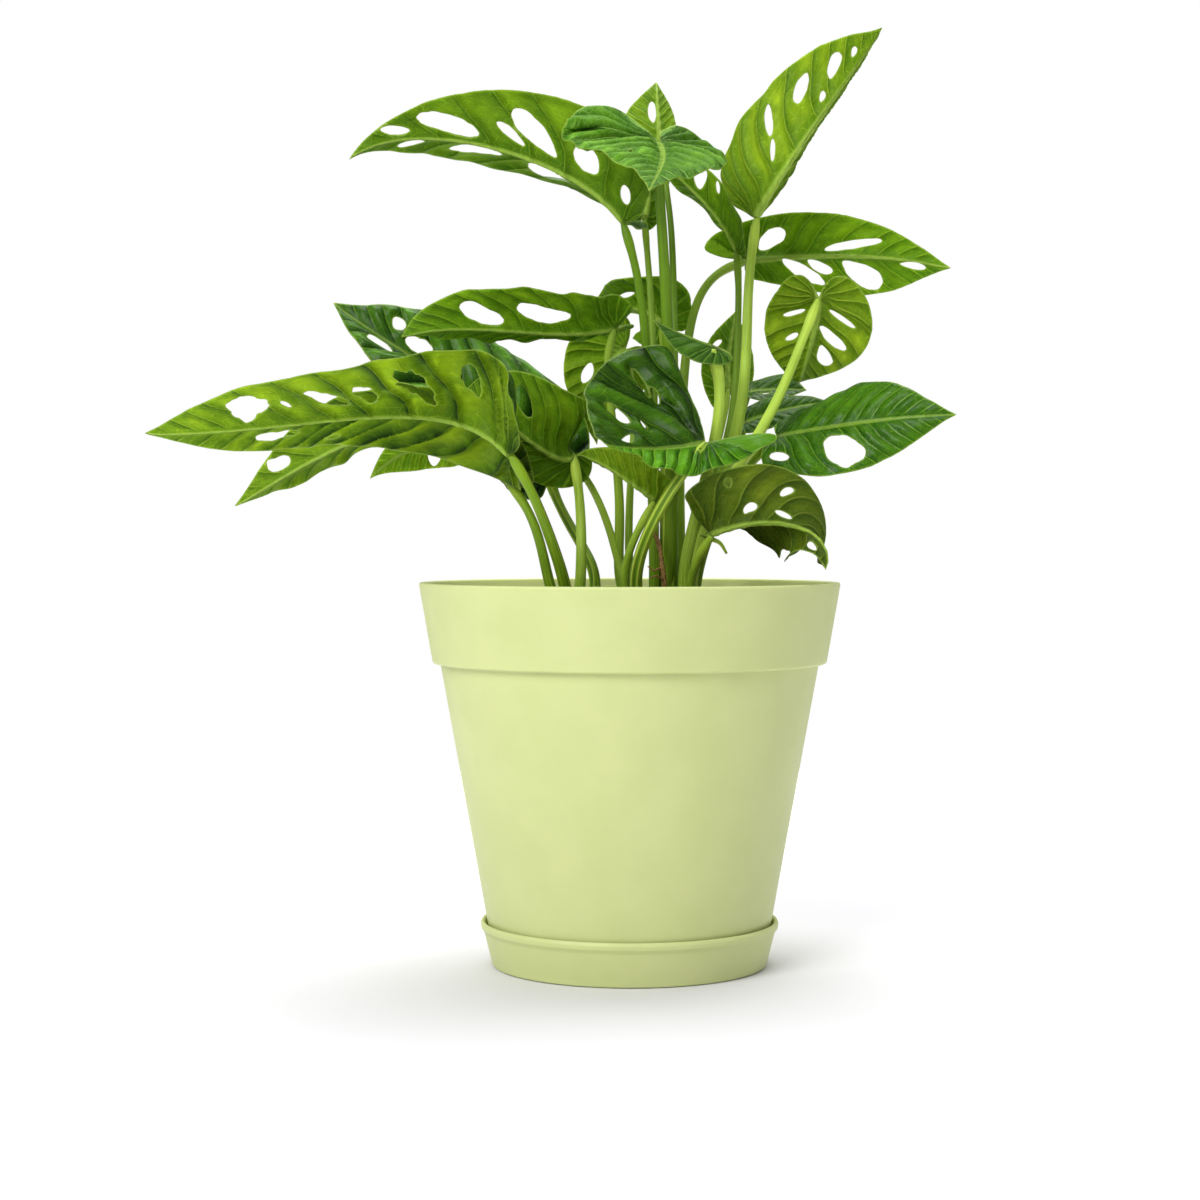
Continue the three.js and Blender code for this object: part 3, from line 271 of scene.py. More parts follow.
# Edge of one half of a blade, from the stalk round the basal lobe to the tip: share of the length (of the lobe's
# reach where negative) and share of the half width.
HALF_OUTLINE = (
    (0, 0), (-0.62, 0.13), (-1, 0.36), (-0.72, 0.66), (-0.05, 0.86), (0.16, 0.98),
    (0.33, 1), (0.52, 0.89), (0.7, 0.64), (0.84, 0.34), (0.94, 0.11), (1, 0),
)
OUTLINE_WIDEST = 0.33

CLUMPS = {"left": (-20, -5, 8), "centre": (8, 4, 8), "right": (22, -3, 7)}  # x, y and radius of the rootstocks
STALK_FOOT = 117  # height at which the stalks leave the rootstock
GATHER = 0.25  # how far from the rootstock's axis a stalk starts, as a share of its distance at the rim
STALK_SPACING = 1.6  # between two rings of a stalk
STALK_EASING = 40  # passes that take the sharpest bends out of a stalk
RIB_DROP = 0.85  # a stalk's end lies this far under the upper face of its blade

# Stems without a blade: clump, diameters at both ends and the points they pass through
BARE_STEMS = (
    ("centre", (7.4, 6), ((13, 2, 118), (14, 1, 150), (14, -1, 190))),
    ("right", (1.7, 0.9), ((28, -27.5, 151.5), (31.2, -27.5, 150), (33.4, -27.3, 146.5))),
)


def unit(vectors):
    return vectors / np.maximum(np.linalg.norm(vectors, axis=-1, keepdims=True), 1e-12)


def ramp(values, start, end):
    """0 at start, 1 at end, with soft shoulders."""
    t = np.clip((np.asarray(values, float) - start) / (end - start), 0, 1)
    return t * t * (3 - 2 * t)


def between(pair, share):
    """From the first of a pair to the second, by a share."""
    return pair[0] * (1 - share) + pair[1] * share


def smooth_through(points, steps):
    """Points of a smooth curve through the given ones, with so many steps between two of them."""
    points = np.asarray(points, float)
    padded = np.vstack([2 * points[0] - points[1], points, 2 * points[-1] - points[-2]])
    t = (np.arange(steps) / steps)[:, None]
    spans = [
        0.5 * (2 * b + (c - a) * t + (2 * a - 5 * b + 4 * c - d) * t**2 + (3 * b - a - 3 * c + d) * t**3)
        for a, b, c, d in zip(padded, padded[1:], padded[2:], padded[3:])
    ]
    return np.vstack([*spans, points[-1:]])


def even_spacing(points, spacing, closed=False):
    """The same line with its points about spacing apart."""
    line = np.vstack([points, points[:1]]) if closed else points
    run = np.concatenate([[0], np.cumsum(np.linalg.norm(np.diff(line, axis=0), axis=1))])
    count = max(int(round(run[-1] / spacing)), 6)
    at = np.linspace(0, run[-1], count + 1)[: count if closed else None]
    return np.stack([np.interp(at, run, line[:, k]) for k in range(line.shape[1])], -1)


def swirl(points, scale, seed):
    """Smooth noise from -1 to 1 at each point."""
    shift = Vector((seed * 13.7, seed * 7.1, seed * 3.3))
    solid = np.pad(points, ((0, 0), (0, 3 - points.shape[1])))
    return np.array([noise.noise(Vector(p) * scale + shift) for p in solid])


def inside(loop, points):
    """Which points a closed line surrounds."""
    x, y = points[:, :1], points[:, 1:2]
    x1, y1 = loop[:, 0], loop[:, 1]
    x2, y2 = np.roll(x1, -1), np.roll(y1, -1)
    rise = np.where(y2 == y1, 1e-12, y2 - y1)
    crossed = ((y1 > y) != (y2 > y)) & (x < (x2 - x1) * (y - y1) / rise + x1)
    return crossed.sum(1) % 2 == 1


def distance_to(loop, points):
    """Distance from each point to a closed line."""
    start, end = loop, np.roll(loop, -1, 0)
    span = end - start
    length = np.maximum((span**2).sum(1), 1e-12)
    share = np.clip(((points[:, None] - start) * span).sum(2) / length, 0, 1)
    return np.sqrt((((start + share[..., None] * span) - points[:, None]) ** 2).sum(2).min(1))


def notched(outline, loop):
    """The outline without what a loop that crosses it takes away."""
    gone, arc = inside(loop, outline), inside(outline, loop)
    if not gone.any() or not arc.any():
        return outline
    start = np.argmax(gone & ~np.roll(gone, 1))
    kept = np.roll(outline, -start, 0)[~np.roll(gone, -start)]
    start = np.argmax(arc & ~np.roll(arc, 1))
    arc = np.roll(loop, -start, 0)[np.roll(arc, -start)]
    if np.linalg.norm(arc[0] - kept[-1]) > np.linalg.norm(arc[-1] - kept[-1]):
        arc = arc[::-1]
    return np.vstack([kept, arc])


# Blades


class Veins:
    """The lateral veins of one half of a blade. Each leaves the rib at its root and arches towards the tip."""

    ARCH = 0.32
    SAME_CELL = 0.55  # windows nearer than this share of the spacing lie between the same two veins
    BEYOND = 0.62  # from the first and the last window to the vein beyond it, as a share of the spacing
    UNEVEN = 0.16  # how far the veins between windows stray, as a share of the spacing
    HALVINGS = 22  # in the search for a vein
    BASAL = (-11.5, -8.2, -5.2, -2.4)  # roots under 0 fan out from the stalk into the basal lobe

    def __init__(self, blade, half):
        self.length, self.half = blade.length, blade.leaf["half"][half]
        self.fan = blade.leaf["fan"]  # veins whose roots lie nearer than this all start at the stalk
        spacing = min(max(self.length / 10.5, 4.2), 11)
        sign = -1 if half else 1
        windows = [w for w in blade.leaf["windows"] if w[1] * sign > 0]
        centres = sorted(float(self.root_of(np.array([w[0]]), np.array([abs(w[1])]))[0]) for w in windows)
        groups = []
        for c in centres:
            if groups and c - groups[-1][-1] < self.SAME_CELL * spacing:
                groups[-1].append(c)
            else:
                groups.append([c])
        cells = [sum(g) / len(g) for g in groups]
        roots = [(a + b) / 2 for a, b in zip(cells, cells[1:])]
        if cells:
            roots = [cells[0] - spacing * self.BEYOND, *roots, cells[-1] + spacing * self.BEYOND]
        else:
            roots = [0.35 * self.length]
        roots = [r for r in roots if r > 1.5] or [0.2 * self.length]
        full = [roots[0]]
        for r in roots[1:]:
            extra = int((r - full[-1]) / (1.9 * spacing))
            steps = np.linspace(full[-1], r, extra + 2)[1:]
            full += [v + self.UNEVEN * spacing * math.sin(2.7 * v) for v in steps[:-1]] + [r]
        while full[0] - spacing > 2:
            full.insert(0, full[0] - spacing)
        while full[-1] < self.length:
            full.append(full[-1] + spacing * 0.9)
        self.roots = np.array([*self.BASAL, 0.4, *[r for r in full if r > 1.6]])

    def slope(self, root):
        """How far a vein runs ahead for each millimetre it runs outward."""
        places = [-12, -5, 0, 0.15 * self.length, 0.5 * self.length, self.length]
        return np.interp(root, places, [-1.8, -0.55, 0.22, 0.5, 0.85, 2.2])

    def along(self, root, across):
        """Where the vein from a root lies along the rib, at a distance across it."""
        start = np.maximum(root - self.fan, 0) * self.length / (self.length - self.fan)
        bend = 1.3 * np.sin(0.24 * across + 0.1 * root) * ramp(across, 0, 7)
        return start + self.slope(root) * across + self.ARCH * across**2 / self.half + bend

    def root_of(self, along, across):
        """The root of the vein that passes through a place, found by halving."""
        low, high = np.full(len(along), -14.0), np.full(len(along), self.length * 1.1)
        for _ in range(self.HALVINGS):
            middle = (low + high) / 2
            short = self.along(middle, across) < along
            low, high = np.where(short, middle, low), np.where(short, high, middle)
        return (low + high) / 2

    def phase(self, along, across):
        """Whole numbers on the veins, halves midway between them."""
        return np.interp(self.root_of(along, across), self.roots, np.arange(len(self.roots)))


class Blade:
    """A leaf's surface: a flat pattern of (along, across) laid on its curved rib."""

    RIB_ROWS = (0, 0.5, -0.5, 1, -1, 1.6, -1.6)  # rows of points on the rib, by their distance across it
    VEINS_FROM = 2.3  # distance across the rib at which the points on the lateral veins start
    GRID_FROM = 2.4  # and the one at which the grid between them starts
    WINDOW_SIDES = 96
    STEP = 0.4  # for slopes of the surface

    def __init__(self, leaf, seed):
        self.leaf, self.seed = leaf, seed
        handles = np.array(leaf["rib"], float)
        t = np.linspace(0, 1, 400)[:, None]
        p0, p1, p2, p3 = handles
        self.line = (1 - t) ** 3 * p0 + 3 * (1 - t) ** 2 * t * p1 + 3 * (1 - t) * t * t * p2 + t**3 * p3
        slope = (1 - t) ** 2 * (p1 - p0) + 2 * (1 - t) * t * (p2 - p1) + t * t * (p3 - p2)
        self.ahead = unit(slope)
        self.run = np.concatenate([[0], np.cumsum(np.linalg.norm(np.diff(self.line, axis=0), axis=1))])
        self.length = self.run[-1]
        self.faces = unit(np.array(leaf["face"], float))
        self.veins = (Veins(self, 0), Veins(self, 1))

    def frame(self, along):
        """Origin, direction of the rib, upward and leftward, at each place along the rib."""
        kept = np.clip(along, 0, self.length)
        origin = np.stack([np.interp(kept, self.run, self.line[:, k]) for k in range(3)], -1)
        ahead = unit(np.stack([np.interp(kept, self.run, self.ahead[:, k]) for k in range(3)], -1))
        origin = origin + ahead * np.minimum(along, 0)[:, None]
        share = (kept / self.length)[:, None]
        up = between(self.faces, share)
        up = unit(up - (up * ahead).sum(1, keepdims=True) * ahead)
        return origin, ahead, up, np.cross(up, ahead)

    def halves(self, across, values):
        """The left or the right one of two values, by the side of each point."""
        return np.where(across < 0, values[1], values[0]).astype(float)

    def place(self, along, across):
        """Where points of the flat pattern lie in the frame."""
        origin, _, up, left = self.frame(along)
        width = self.halves(across, self.leaf["half"])
        fold = np.radians(self.halves(across, self.leaf["fold"]))
        curl = self.halves(across, self.leaf["curl"])
        curl = np.radians(np.where(curl == 0, 0.1, curl))
        end = fold + curl * np.abs(across) / width
        out = width / curl * (np.sin(end) - np.sin(fold))
        rise = width / curl * (np.cos(fold) - np.cos(end))
        return origin + left * (np.sign(across) * out)[:, None] + up * rise[:, None]

    def normal(self, along, across):
        step = np.where(across < 0, -self.STEP, self.STEP)
        here = self.place(along, across)
        forward = self.place(along + self.STEP, across) - here
        out = (self.place(along, across + step) - here) * np.sign(step)[:, None]
        normal = unit(np.cross(forward, out))
        up = self.frame(along)[2]
        near = np.exp(-((across / 1.2) ** 2))[:, None]  # the two halves meet softly at the rib
        return unit(normal * (1 - near) + up * near)

    def half_outline(self, half):
        corners = []
        for along, across in HALF_OUTLINE:
            narrowing = 1 + self.leaf["taper"][half] * (OUTLINE_WIDEST - max(along, 0))
            reach = self.leaf["lobe"][half] if along < 0 else self.length
            corners.append((along * reach, across * self.leaf["half"][half] * narrowing))
        line = smooth_through(corners, 10)
        return line * (1, -1 if half else 1)

    def outline(self, spacing):
        left, right = self.half_outline(0), self.half_outline(1)
        loop = even_spacing(np.vstack([left[:-1], right[1:][::-1]]), spacing, closed=True)
        nudge = swirl(loop, 0.16, self.seed) * 0.35 + swirl(loop, 0.5, self.seed + 40) * 0.14
        centre = np.array([0.4 * self.length, 0])
        calm = ramp(np.abs(loop[:, 1]), 0.5, 4)  # the tip and the notch keep their places
        return loop - unit(loop - centre) * (np.abs(nudge) * calm)[:, None]

    def window_loops(self, spacing):
        loops = []
        for i, (along, across, long, wide, turn) in enumerate(self.leaf["windows"]):
            t = np.linspace(0, 2 * np.pi, self.WINDOW_SIDES, endpoint=False)
            x = np.sign(np.cos(t)) * np.abs(np.cos(t)) ** 0.92 * long / 2
            y = np.sign(np.sin(t)) * np.abs(np.sin(t)) ** 1.12 * wide / 2
            y = y * (1 + 0.16 * np.cos(t)) + 0.05 * wide * np.cos(2 * t + i)
            angle = math.radians(turn)
            c, s = math.cos(angle), math.sin(angle)
            loop = np.stack([along + x * c - y * s, across + x * s + y * c], -1)
            ragged = self.leaf["ragged"]
            wobble = swirl(loop, 0.3, self.seed + i) * (0.1 + 0.26 * ragged)
            wobble = wobble + swirl(loop, 0.8, self.seed + i + 9) * (0.03 + 0.05 * ragged)
            loop = loop + (loop - (along, across)) * wobble[:, None]
            loops.append(even_spacing(loop, spacing * 0.8, closed=True))
        return loops

    def inner_points(self, spacing):
        """Points on the rib and the lateral veins, and a grid of points between them."""
        low, high = -max(self.leaf["lobe"]) - 2, self.length + 1
        wide = max(self.leaf["half"]) * 1.4
        rows = []
        for i, across in enumerate(np.arange(-wide, wide, spacing * math.sqrt(3) / 2)):
            along = np.arange(low + (i % 2) * spacing / 2, high, spacing)
            rows.append(np.stack([along, np.full(len(along), across)], -1))
        grid = np.vstack(rows)
        grid = grid[np.abs(grid[:, 1]) > self.GRID_FROM]
        ahead = np.arange(spacing * 0.6, self.length - spacing * 0.4, spacing * 0.9)
        ribs = [np.stack([ahead, np.full(len(ahead), v)], -1) for v in self.RIB_ROWS]
        laterals = []
        for veins, sign in zip(self.veins, (1, -1)):
            out = np.arange(self.VEINS_FROM, veins.half * 1.3, spacing * 0.8)
            laterals += [np.stack([veins.along(root, out), sign * out], -1) for root in veins.roots]
        laterals = np.vstack(laterals)
        clear = [
            ((part[:, None] - laterals[None]) ** 2).sum(2).min(1) > (0.5 * spacing) ** 2
            for part in np.array_split(grid, max(len(grid) // 400, 1))
        ]
        return np.vstack([*ribs, laterals, grid[np.concatenate(clear)]])

    def pattern(self, spacing):
        """Flat mesh: points, triangles and the distance of each point from the nearest edge."""
        outline, windows = self.outline(spacing), []
        for loop in self.window_loops(spacing):
            if inside(outline, loop).all():
                windows.append(loop)
            else:
                outline = notched(outline, loop)
        inner = self.inner_points(spacing)
        inner = inner[inside(outline, inner)]
        for loop in windows:
            inner = inner[~inside(loop, inner)]
        edge = np.min([distance_to(loop, inner) for loop in [outline, *windows]], axis=0)
        inner, edge = inner[edge > 0.45 * spacing], edge[edge > 0.45 * spacing]
        order = np.lexsort((inner[:, 1], inner[:, 0]))
        inner, edge = inner[order], edge[order]
        loops, borders, count = [outline, *windows], [], 0
        for loop in loops:
            borders += [(count + i, count + (i + 1) % len(loop)) for i in range(len(loop))]
            count += len(loop)
        points = np.vstack([*loops, inner])
        found = delaunay_2d_cdt([Vector(p) for p in points], borders, [], 0, 1e-5)
        flat = np.array([v[:] for v in found[0]])
        triangles = np.array([f for f in found[2] if len(f) == 3])
        if len(flat) != len(points):
            edge_all = np.min([distance_to(loop, flat) for loop in loops], axis=0)
        else:
            source = np.array([o[0] if o else 0 for o in found[3]])
            edge_all = np.concatenate([np.zeros(count), edge])[source]
        centres = flat[triangles].mean(1)
        good = inside(outline, centres)
        for loop in windows:
            good &= ~inside(loop, centres)
        triangles = triangles[good]
        a, b, c = (flat[triangles[:, k]] for k in range(3))
        turn = (b[:, 0] - a[:, 0]) * (c[:, 1] - a[:, 1]) - (b[:, 1] - a[:, 1]) * (c[:, 0] - a[:, 0])
        triangles[turn < 0] = triangles[turn < 0][:, ::-1]
        return flat, triangles, edge_all

    def measures(self, flat):
        """Phase of the lateral veins and the distance between two of them, at each point."""
        phase, spacing = np.zeros(len(flat)), np.zeros(len(flat))
        left, step = flat[:, 1] >= 0, 0.5
        for side, veins in zip((left, ~left), self.veins):
            along, across = flat[side, 0], np.abs(flat[side, 1])
            here = veins.phase(along, across)
            ahead = (veins.phase(along + step, across) - here) / step
            out = (veins.phase(along, across + step) - here) / step
            phase[side] = here
            spacing[side] = np.clip(1 / np.maximum(np.hypot(ahead, out), 0.02), 0.6, 20)
        return phase, spacing


def boundary_of(triangles):
    """Directed edges that only one triangle has."""
    edges = np.vstack([triangles[:, [0, 1]], triangles[:, [1, 2]], triangles[:, [2, 0]]])
    have = {tuple(e) for e in edges.tolist()}
    return np.array([(a, b) for a, b in edges.tolist() if (b, a) not in have])


# Relief of a blade, in millimetres
VEIN_HALF_WIDTH = 0.55
EDGE_THINNING = 2.2  # the blade thins out towards its edge over this distance
WAVE_REACH = 6.5  # and its waves die out inwards over this one
WAVE_PITCH = 0.34  # radians of a wave for each millimetre along the rib


def blade_mesh(leaf, seed, settings):
    """A closed blade: its points, its triangles and what its material reads at each point."""
    blade = Blade(leaf, seed)
    spacing = settings.mesh_spacing / MM
    flat, triangles, edge = blade.pattern(spacing)
    along, across = flat[:, 0], flat[:, 1]
    share = np.clip(along / blade.length, 0, 1)
    phase, gap = blade.measures(flat)
    normal = blade.normal(along, across)
    place = blade.place(along, across)

    # Quilting: the blade swells between its veins, and its edge waves
    quilt = settings.quilting / MM * np.clip(gap / 7, 0.2, 1.15) * leaf["quilt"]
    swell = np.abs(np.sin(np.pi * phase))
    calm = ramp(np.abs(across), 0.6, 4.5) * ramp(edge, 0, 3.5) * (1 - 0.6 * share)
    height = quilt * swell * calm
    height = height + 0.9 * swirl(flat, 0.07, seed + 70) * ramp(np.abs(across), 0.5, 8)
    wave = leaf["wave"] * (1 - ramp(edge, 0, WAVE_REACH)) * ramp(np.abs(across), 2, 7)
    height = height + wave * np.sin(along * WAVE_PITCH + 1.7 * swirl(flat, 0.09, seed + 90) + seed)

    # Thickness: thin towards the edge, with the rib standing out below and a groove above it
    body = settings.blade_thickness / MM * (0.45 + 0.55 * ramp(edge, 0, EDGE_THINNING))
    tip = leaf["thick"][1] / 2
    rib_width = 0.55 + (tip * 0.75) * (1 - share) ** 0.8
    rib_depth = 0.22 + (tip * 0.95) * (1 - share) ** 0.9
    rib = np.exp(-((across / rib_width) ** 2)) * ramp(along, blade.length, blade.length - 6)
    vein = np.exp(-((((phase + 0.5) % 1) - 0.5) * gap / VEIN_HALF_WIDTH) ** 2) * ramp(edge, 0.3, 2)
    below = body + rib_depth * rib + settings.vein_relief / MM * vein * (1 - 0.5 * share)
    above = height - 0.16 - 0.3 * rib - 0.08 * vein
    top = place + normal * above[:, None]
    bottom = place + normal * (above - below - 0.05 * rib)[:, None]

    count = len(flat)
    faces = [triangles, triangles[:, ::-1] + count]
    rim = boundary_of(triangles)
    faces.append(np.stack([rim[:, 0], rim[:, 0] + count, rim[:, 1] + count], -1))
    faces.append(np.stack([rim[:, 0], rim[:, 1] + count, rim[:, 1]], -1))
    # Painted light and shade: each half has its own brightness, darker near the stalk by the leaf's base share;
    # blade_folds is how strongly the folds are painted light and dark, less towards the tip.
    fade = leaf["base"] + (1 - leaf["base"]) * ramp(share, 0.05, 0.5)
    attributes = {
        "blade_light": blade.halves(across, leaf["light"]) * fade,
        "blade_folds": max(leaf["quilt"] - 1, 0) * (1 - 0.65 * ramp(share, 0.35, 0.85)),
        "vein_phase": phase,
        "vein_gap": gap,
        "blade_across": across,
        "blade_share": share,
        "blade_edge": edge,
        "blade_length": np.full(count, blade.length),
    }
    doubled = {key: np.concatenate([v, v]) for key, v in attributes.items()}
    doubled["underside"] = np.concatenate([np.zeros(count), np.ones(count)])
    return np.vstack([top, bottom]), np.vstack(faces), doubled


# Stalks

# Places round a stalk, closest together at its channel
STALK_ANGLES = np.array([0, 0.17, 0.32, 0.44, 0.53, 0.62, 0.75, 0.98, 1.3, 1.7, 2.15, 2.65, math.pi])
STALK_ANGLES = np.concatenate([STALK_ANGLES, -STALK_ANGLES[-2:0:-1]])
CHANNEL_WIDTH = 0.36  # from its middle, in radians
LIP_PLACE, LIP_WIDTH = 0.53, 0.13
KNEE_PLACE, KNEE_LENGTH = 6.5, 4.2  # back from the end of the stalk


def transported(line, reference):
    """Side vectors along a line, each as near as can be to the one after it; the last is near reference."""
    ahead = unit(np.gradient(line, axis=0))
    sides = [None] * len(line)
    side = np.asarray(reference, float)
    for i in range(len(line) - 1, -1, -1):
        side = side - (side @ ahead[i]) * ahead[i]
        side = side / max(np.linalg.norm(side), 1e-9)
        sides[i] = side
    sides = np.array(sides)
    return ahead, sides, np.cross(ahead, sides)


def ring_values(values):
    """One value for each ring of a tube, as one for each of its points."""
    return np.concatenate([values[:1], np.repeat(values, len(STALK_ANGLES)), values[-1:]])


def tube(line, radii, reference, channel, wings):
    """A closed bar along a line, channelled on the side of reference. channel and wings are depths per ring."""
    ahead, side, other = transported(line, reference)
    angle = STALK_ANGLES[None]
    groove = np.exp(-((angle / CHANNEL_WIDTH) ** 2)) * channel[:, None]
    lips = np.exp(-(((np.abs(angle) - LIP_PLACE) / LIP_WIDTH) ** 2)) * wings[:, None]
    radius = radii[:, None] * (1 - groove + lips)
    across = side[:, None] * (np.cos(angle) * radius)[..., None]
    ring = line[:, None] + across + other[:, None] * (np.sin(angle) * radius)[..., None]
    around = len(STALK_ANGLES)
    points = [line[:1] - ahead[:1] * radii[0] * 0.3, ring.reshape(-1, 3), line[-1:] + ahead[-1:] * radii[-1] * 0.5]
    k = np.arange(around)
    nxt = (k + 1) % around
    faces = [np.stack([np.zeros(around, int), 1 + nxt, 1 + k], -1)]
    for r in range(len(line) - 1):
        a, b = 1 + r * around, 1 + (r + 1) * around
        faces.append(np.stack([a + k, a + nxt, b + k], -1))
        faces.append(np.stack([a + nxt, b + nxt, b + k], -1))
    last = 1 + (len(line) - 1) * around
    faces.append(np.stack([last + k, last + nxt, np.full(around, last + around)], -1))
    share = np.linspace(0, 1, len(line))
    run = ring_values(share)
    turn = np.concatenate([[0], np.tile(STALK_ANGLES, len(line)), [0]])
    return np.vstack(points), np.vstack(faces), run, turn


def stalk_mesh(leaf, seed):
    """A leaf's stalk, from its rootstock to the underside of its blade."""
    blade = Blade(leaf, seed)
    origin, ahead, up, _ = (v[0] for v in blade.frame(np.array([0.0])))
    x, y, _ = CLUMPS[leaf["clump"]]
    rim = leaf["stalk"][0]
    foot = (x + (rim[0] - x) * GATHER, y + (rim[1] - y) * GATHER, STALK_FOOT)
    arriving = unit(origin - np.array(leaf["stalk"][-1]))
    end = origin - up * (RIB_DROP + 0.6 * leaf["thick"][1] * max(float(arriving @ up), 0))
    line = even_spacing(smooth_through([foot, *leaf["stalk"], end], 10), STALK_SPACING)
    for _ in range(STALK_EASING):
        line[1:-1] += 0.5 * (line[:-2] + line[2:] - 2 * line[1:-1])
    share = np.linspace(0, 1, len(line))
    radii = between(leaf["thick"], share) * 0.47
    left = np.linalg.norm(np.diff(line, axis=0), axis=1)[::-1].cumsum()
    from_end = np.concatenate([left[::-1], [0]])
    knee = np.exp(-(((from_end - KNEE_PLACE) / KNEE_LENGTH) ** 2))
    radii = radii * (1 + 0.2 * knee) * (0.7 + 0.3 * ramp(from_end, 0, 3))
    radii = radii * (1 + 0.02 * swirl(line, 0.12, seed + 5))
    sheath = 1 - ramp(share, 0.3, 0.55)
    channel = 0.18 + 0.12 * sheath - 0.08 * knee
    reference = up - ahead * 0.8
    points, faces, run, turn = tube(line, radii, reference, channel, 0.02 + 0.06 * sheath)
    return points, faces, skin_of(run, turn, ring_values(knee), leaf["skin"])


def skin_of(share, turn, knee, tone):
    """What the stalk's material reads, at each point; single values hold for all of them."""
    values = np.broadcast_arrays(share, turn, knee, tone)
    return dict(zip(("stalk_share", "stalk_turn", "stalk_knee", "stalk_tone"), values))


def stem_mesh(thick, path, seed):
    """A stem without a blade."""
    line = even_spacing(smooth_through(path, 12), 1.2)
    share = np.linspace(0, 1, len(line))
    radii = between(thick, share) / 2 * (1 + 0.04 * swirl(line, 0.2, seed))
    flat = np.full(len(line), 0.06)
    points, faces, run, turn = tube(line, radii, (0, -1, 0.2), flat, flat * 0.2)
    return points, faces, skin_of(run * 0.5, turn, 0.0, 0.55)


def lathe(profile, sides):
    """Closed solid turned about the Z axis from (radius, height) points that start and end on the axis."""
    profile = np.asarray(profile, float)
    ring = profile[1:-1]
    angle = np.arange(sides) * 2 * np.pi / sides
    body = [ring[:, :1] * np.cos(angle), ring[:, :1] * np.sin(angle), np.repeat(ring[:, 1:], sides, 1)]
    body = np.stack(body, -1).reshape(-1, 3)
    low, high = len(body), len(body) + 1
    points = np.vstack([body, [[0, 0, profile[0, 1]], [0, 0, profile[-1, 1]]]])
    faces = []
    for k in range(sides):
        n = (k + 1) % sides
        faces.append((low, n, k))
        for r in range(len(ring) - 1):
            a, b = r * sides, (r + 1) * sides
            faces.append((a + k, a + n, b + n, b + k))
        last = (len(ring) - 1) * sides
        faces.append((last + k, last + n, high))
    return points, faces


ARC_STEPS = 6


def rounded(corners):
    """A profile of (radius, height, round) corners with each corner turned into an arc of that radius."""
    line = []
    for i, (r, z, fillet) in enumerate(corners):
        here = np.array([r, z], float)
        if fillet <= 0 or i in (0, len(corners) - 1):
            line.append(here)
            continue
        back = np.array(corners[i - 1][:2], float) - here
        on = np.array(corners[i + 1][:2], float) - here
        back_len, on_len = np.linalg.norm(back), np.linalg.norm(on)
        back, on = back / back_len, on / on_len
        angle = math.acos(max(-1, min(1, float(back @ on))))
        cut = min(fillet / math.tan(angle / 2), 0.48 * back_len, 0.48 * on_len)
        a, b = here + back * cut, here + on * cut
        for t in (k / ARC_STEPS for k in range(ARC_STEPS + 1)):
            line.append(a * (1 - t) ** 2 + here * 2 * t * (1 - t) + b * t * t)
    return np.array(line)


def supported(line):
    """The same profile with points close to the ends of each long side, which keeps smooth shading in the arcs."""
    out = [line[0]]
    for a, b in zip(line, line[1:]):
        length = np.linalg.norm(b - a)
        if length > 4:
            inner = [0.5 / length, *np.linspace(0, 1, int(length / 12) + 2)[1:-1], 1 - 0.5 / length]
            out += [a + (b - a) * t for t in inner]
        out.append(b)
    return np.array(out)


# Pieces


def new_piece(name, mesh_data, material, nodes):
    """A mesh object in metres that rides on the body and stands for the CAD nodes."""
    points, faces, attributes = mesh_data
    mesh = bpy.data.meshes.new(name)
    mesh.from_pydata((np.asarray(points) * MM).tolist(), [], listed(faces))
    for key, values in attributes.items():
        mesh.attributes.new(key, "FLOAT", "POINT").data.foreach_set("value", np.asarray(values, np.float32))
    mesh.shade_smooth()
    mesh.materials.append(material)
    piece = bpy.data.objects.new(name, mesh)
    bpy.context.scene.collection.objects.link(piece)
    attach(piece, BODY)
    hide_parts(*nodes)
    return piece


def listed(faces):
    return faces.tolist() if isinstance(faces, np.ndarray) else faces


def joined(parts):
    """Several (points, faces, attributes) as one."""
    points, faces, attributes, count = [], [], {}, 0
    for part_points, part_faces, part_attributes in parts:
        points.append(part_points)
        faces += [[v + count for v in face] for face in listed(part_faces)]
        count += len(part_points)
        for key, values in part_attributes.items():
            attributes.setdefault(key, []).append(values)
    return np.vstack(points), faces, {key: np.concatenate(values) for key, values in attributes.items()}


# Materials

WHITE = (1, 1, 1, 1)


def linear(colour):
    """A colour given as 0 to 255 sRGB values, as linear RGBA."""
    values = [c / 255 for c in colour]
    return (*[v / 12.92 if v <= 0.04045 else ((v + 0.055) / 1.055) ** 2.4 for v in values], 1.0)


def tinted(colour, factors):
    return (*[min(c * f, 1) for c, f in zip(colour[:3], factors)], 1.0)


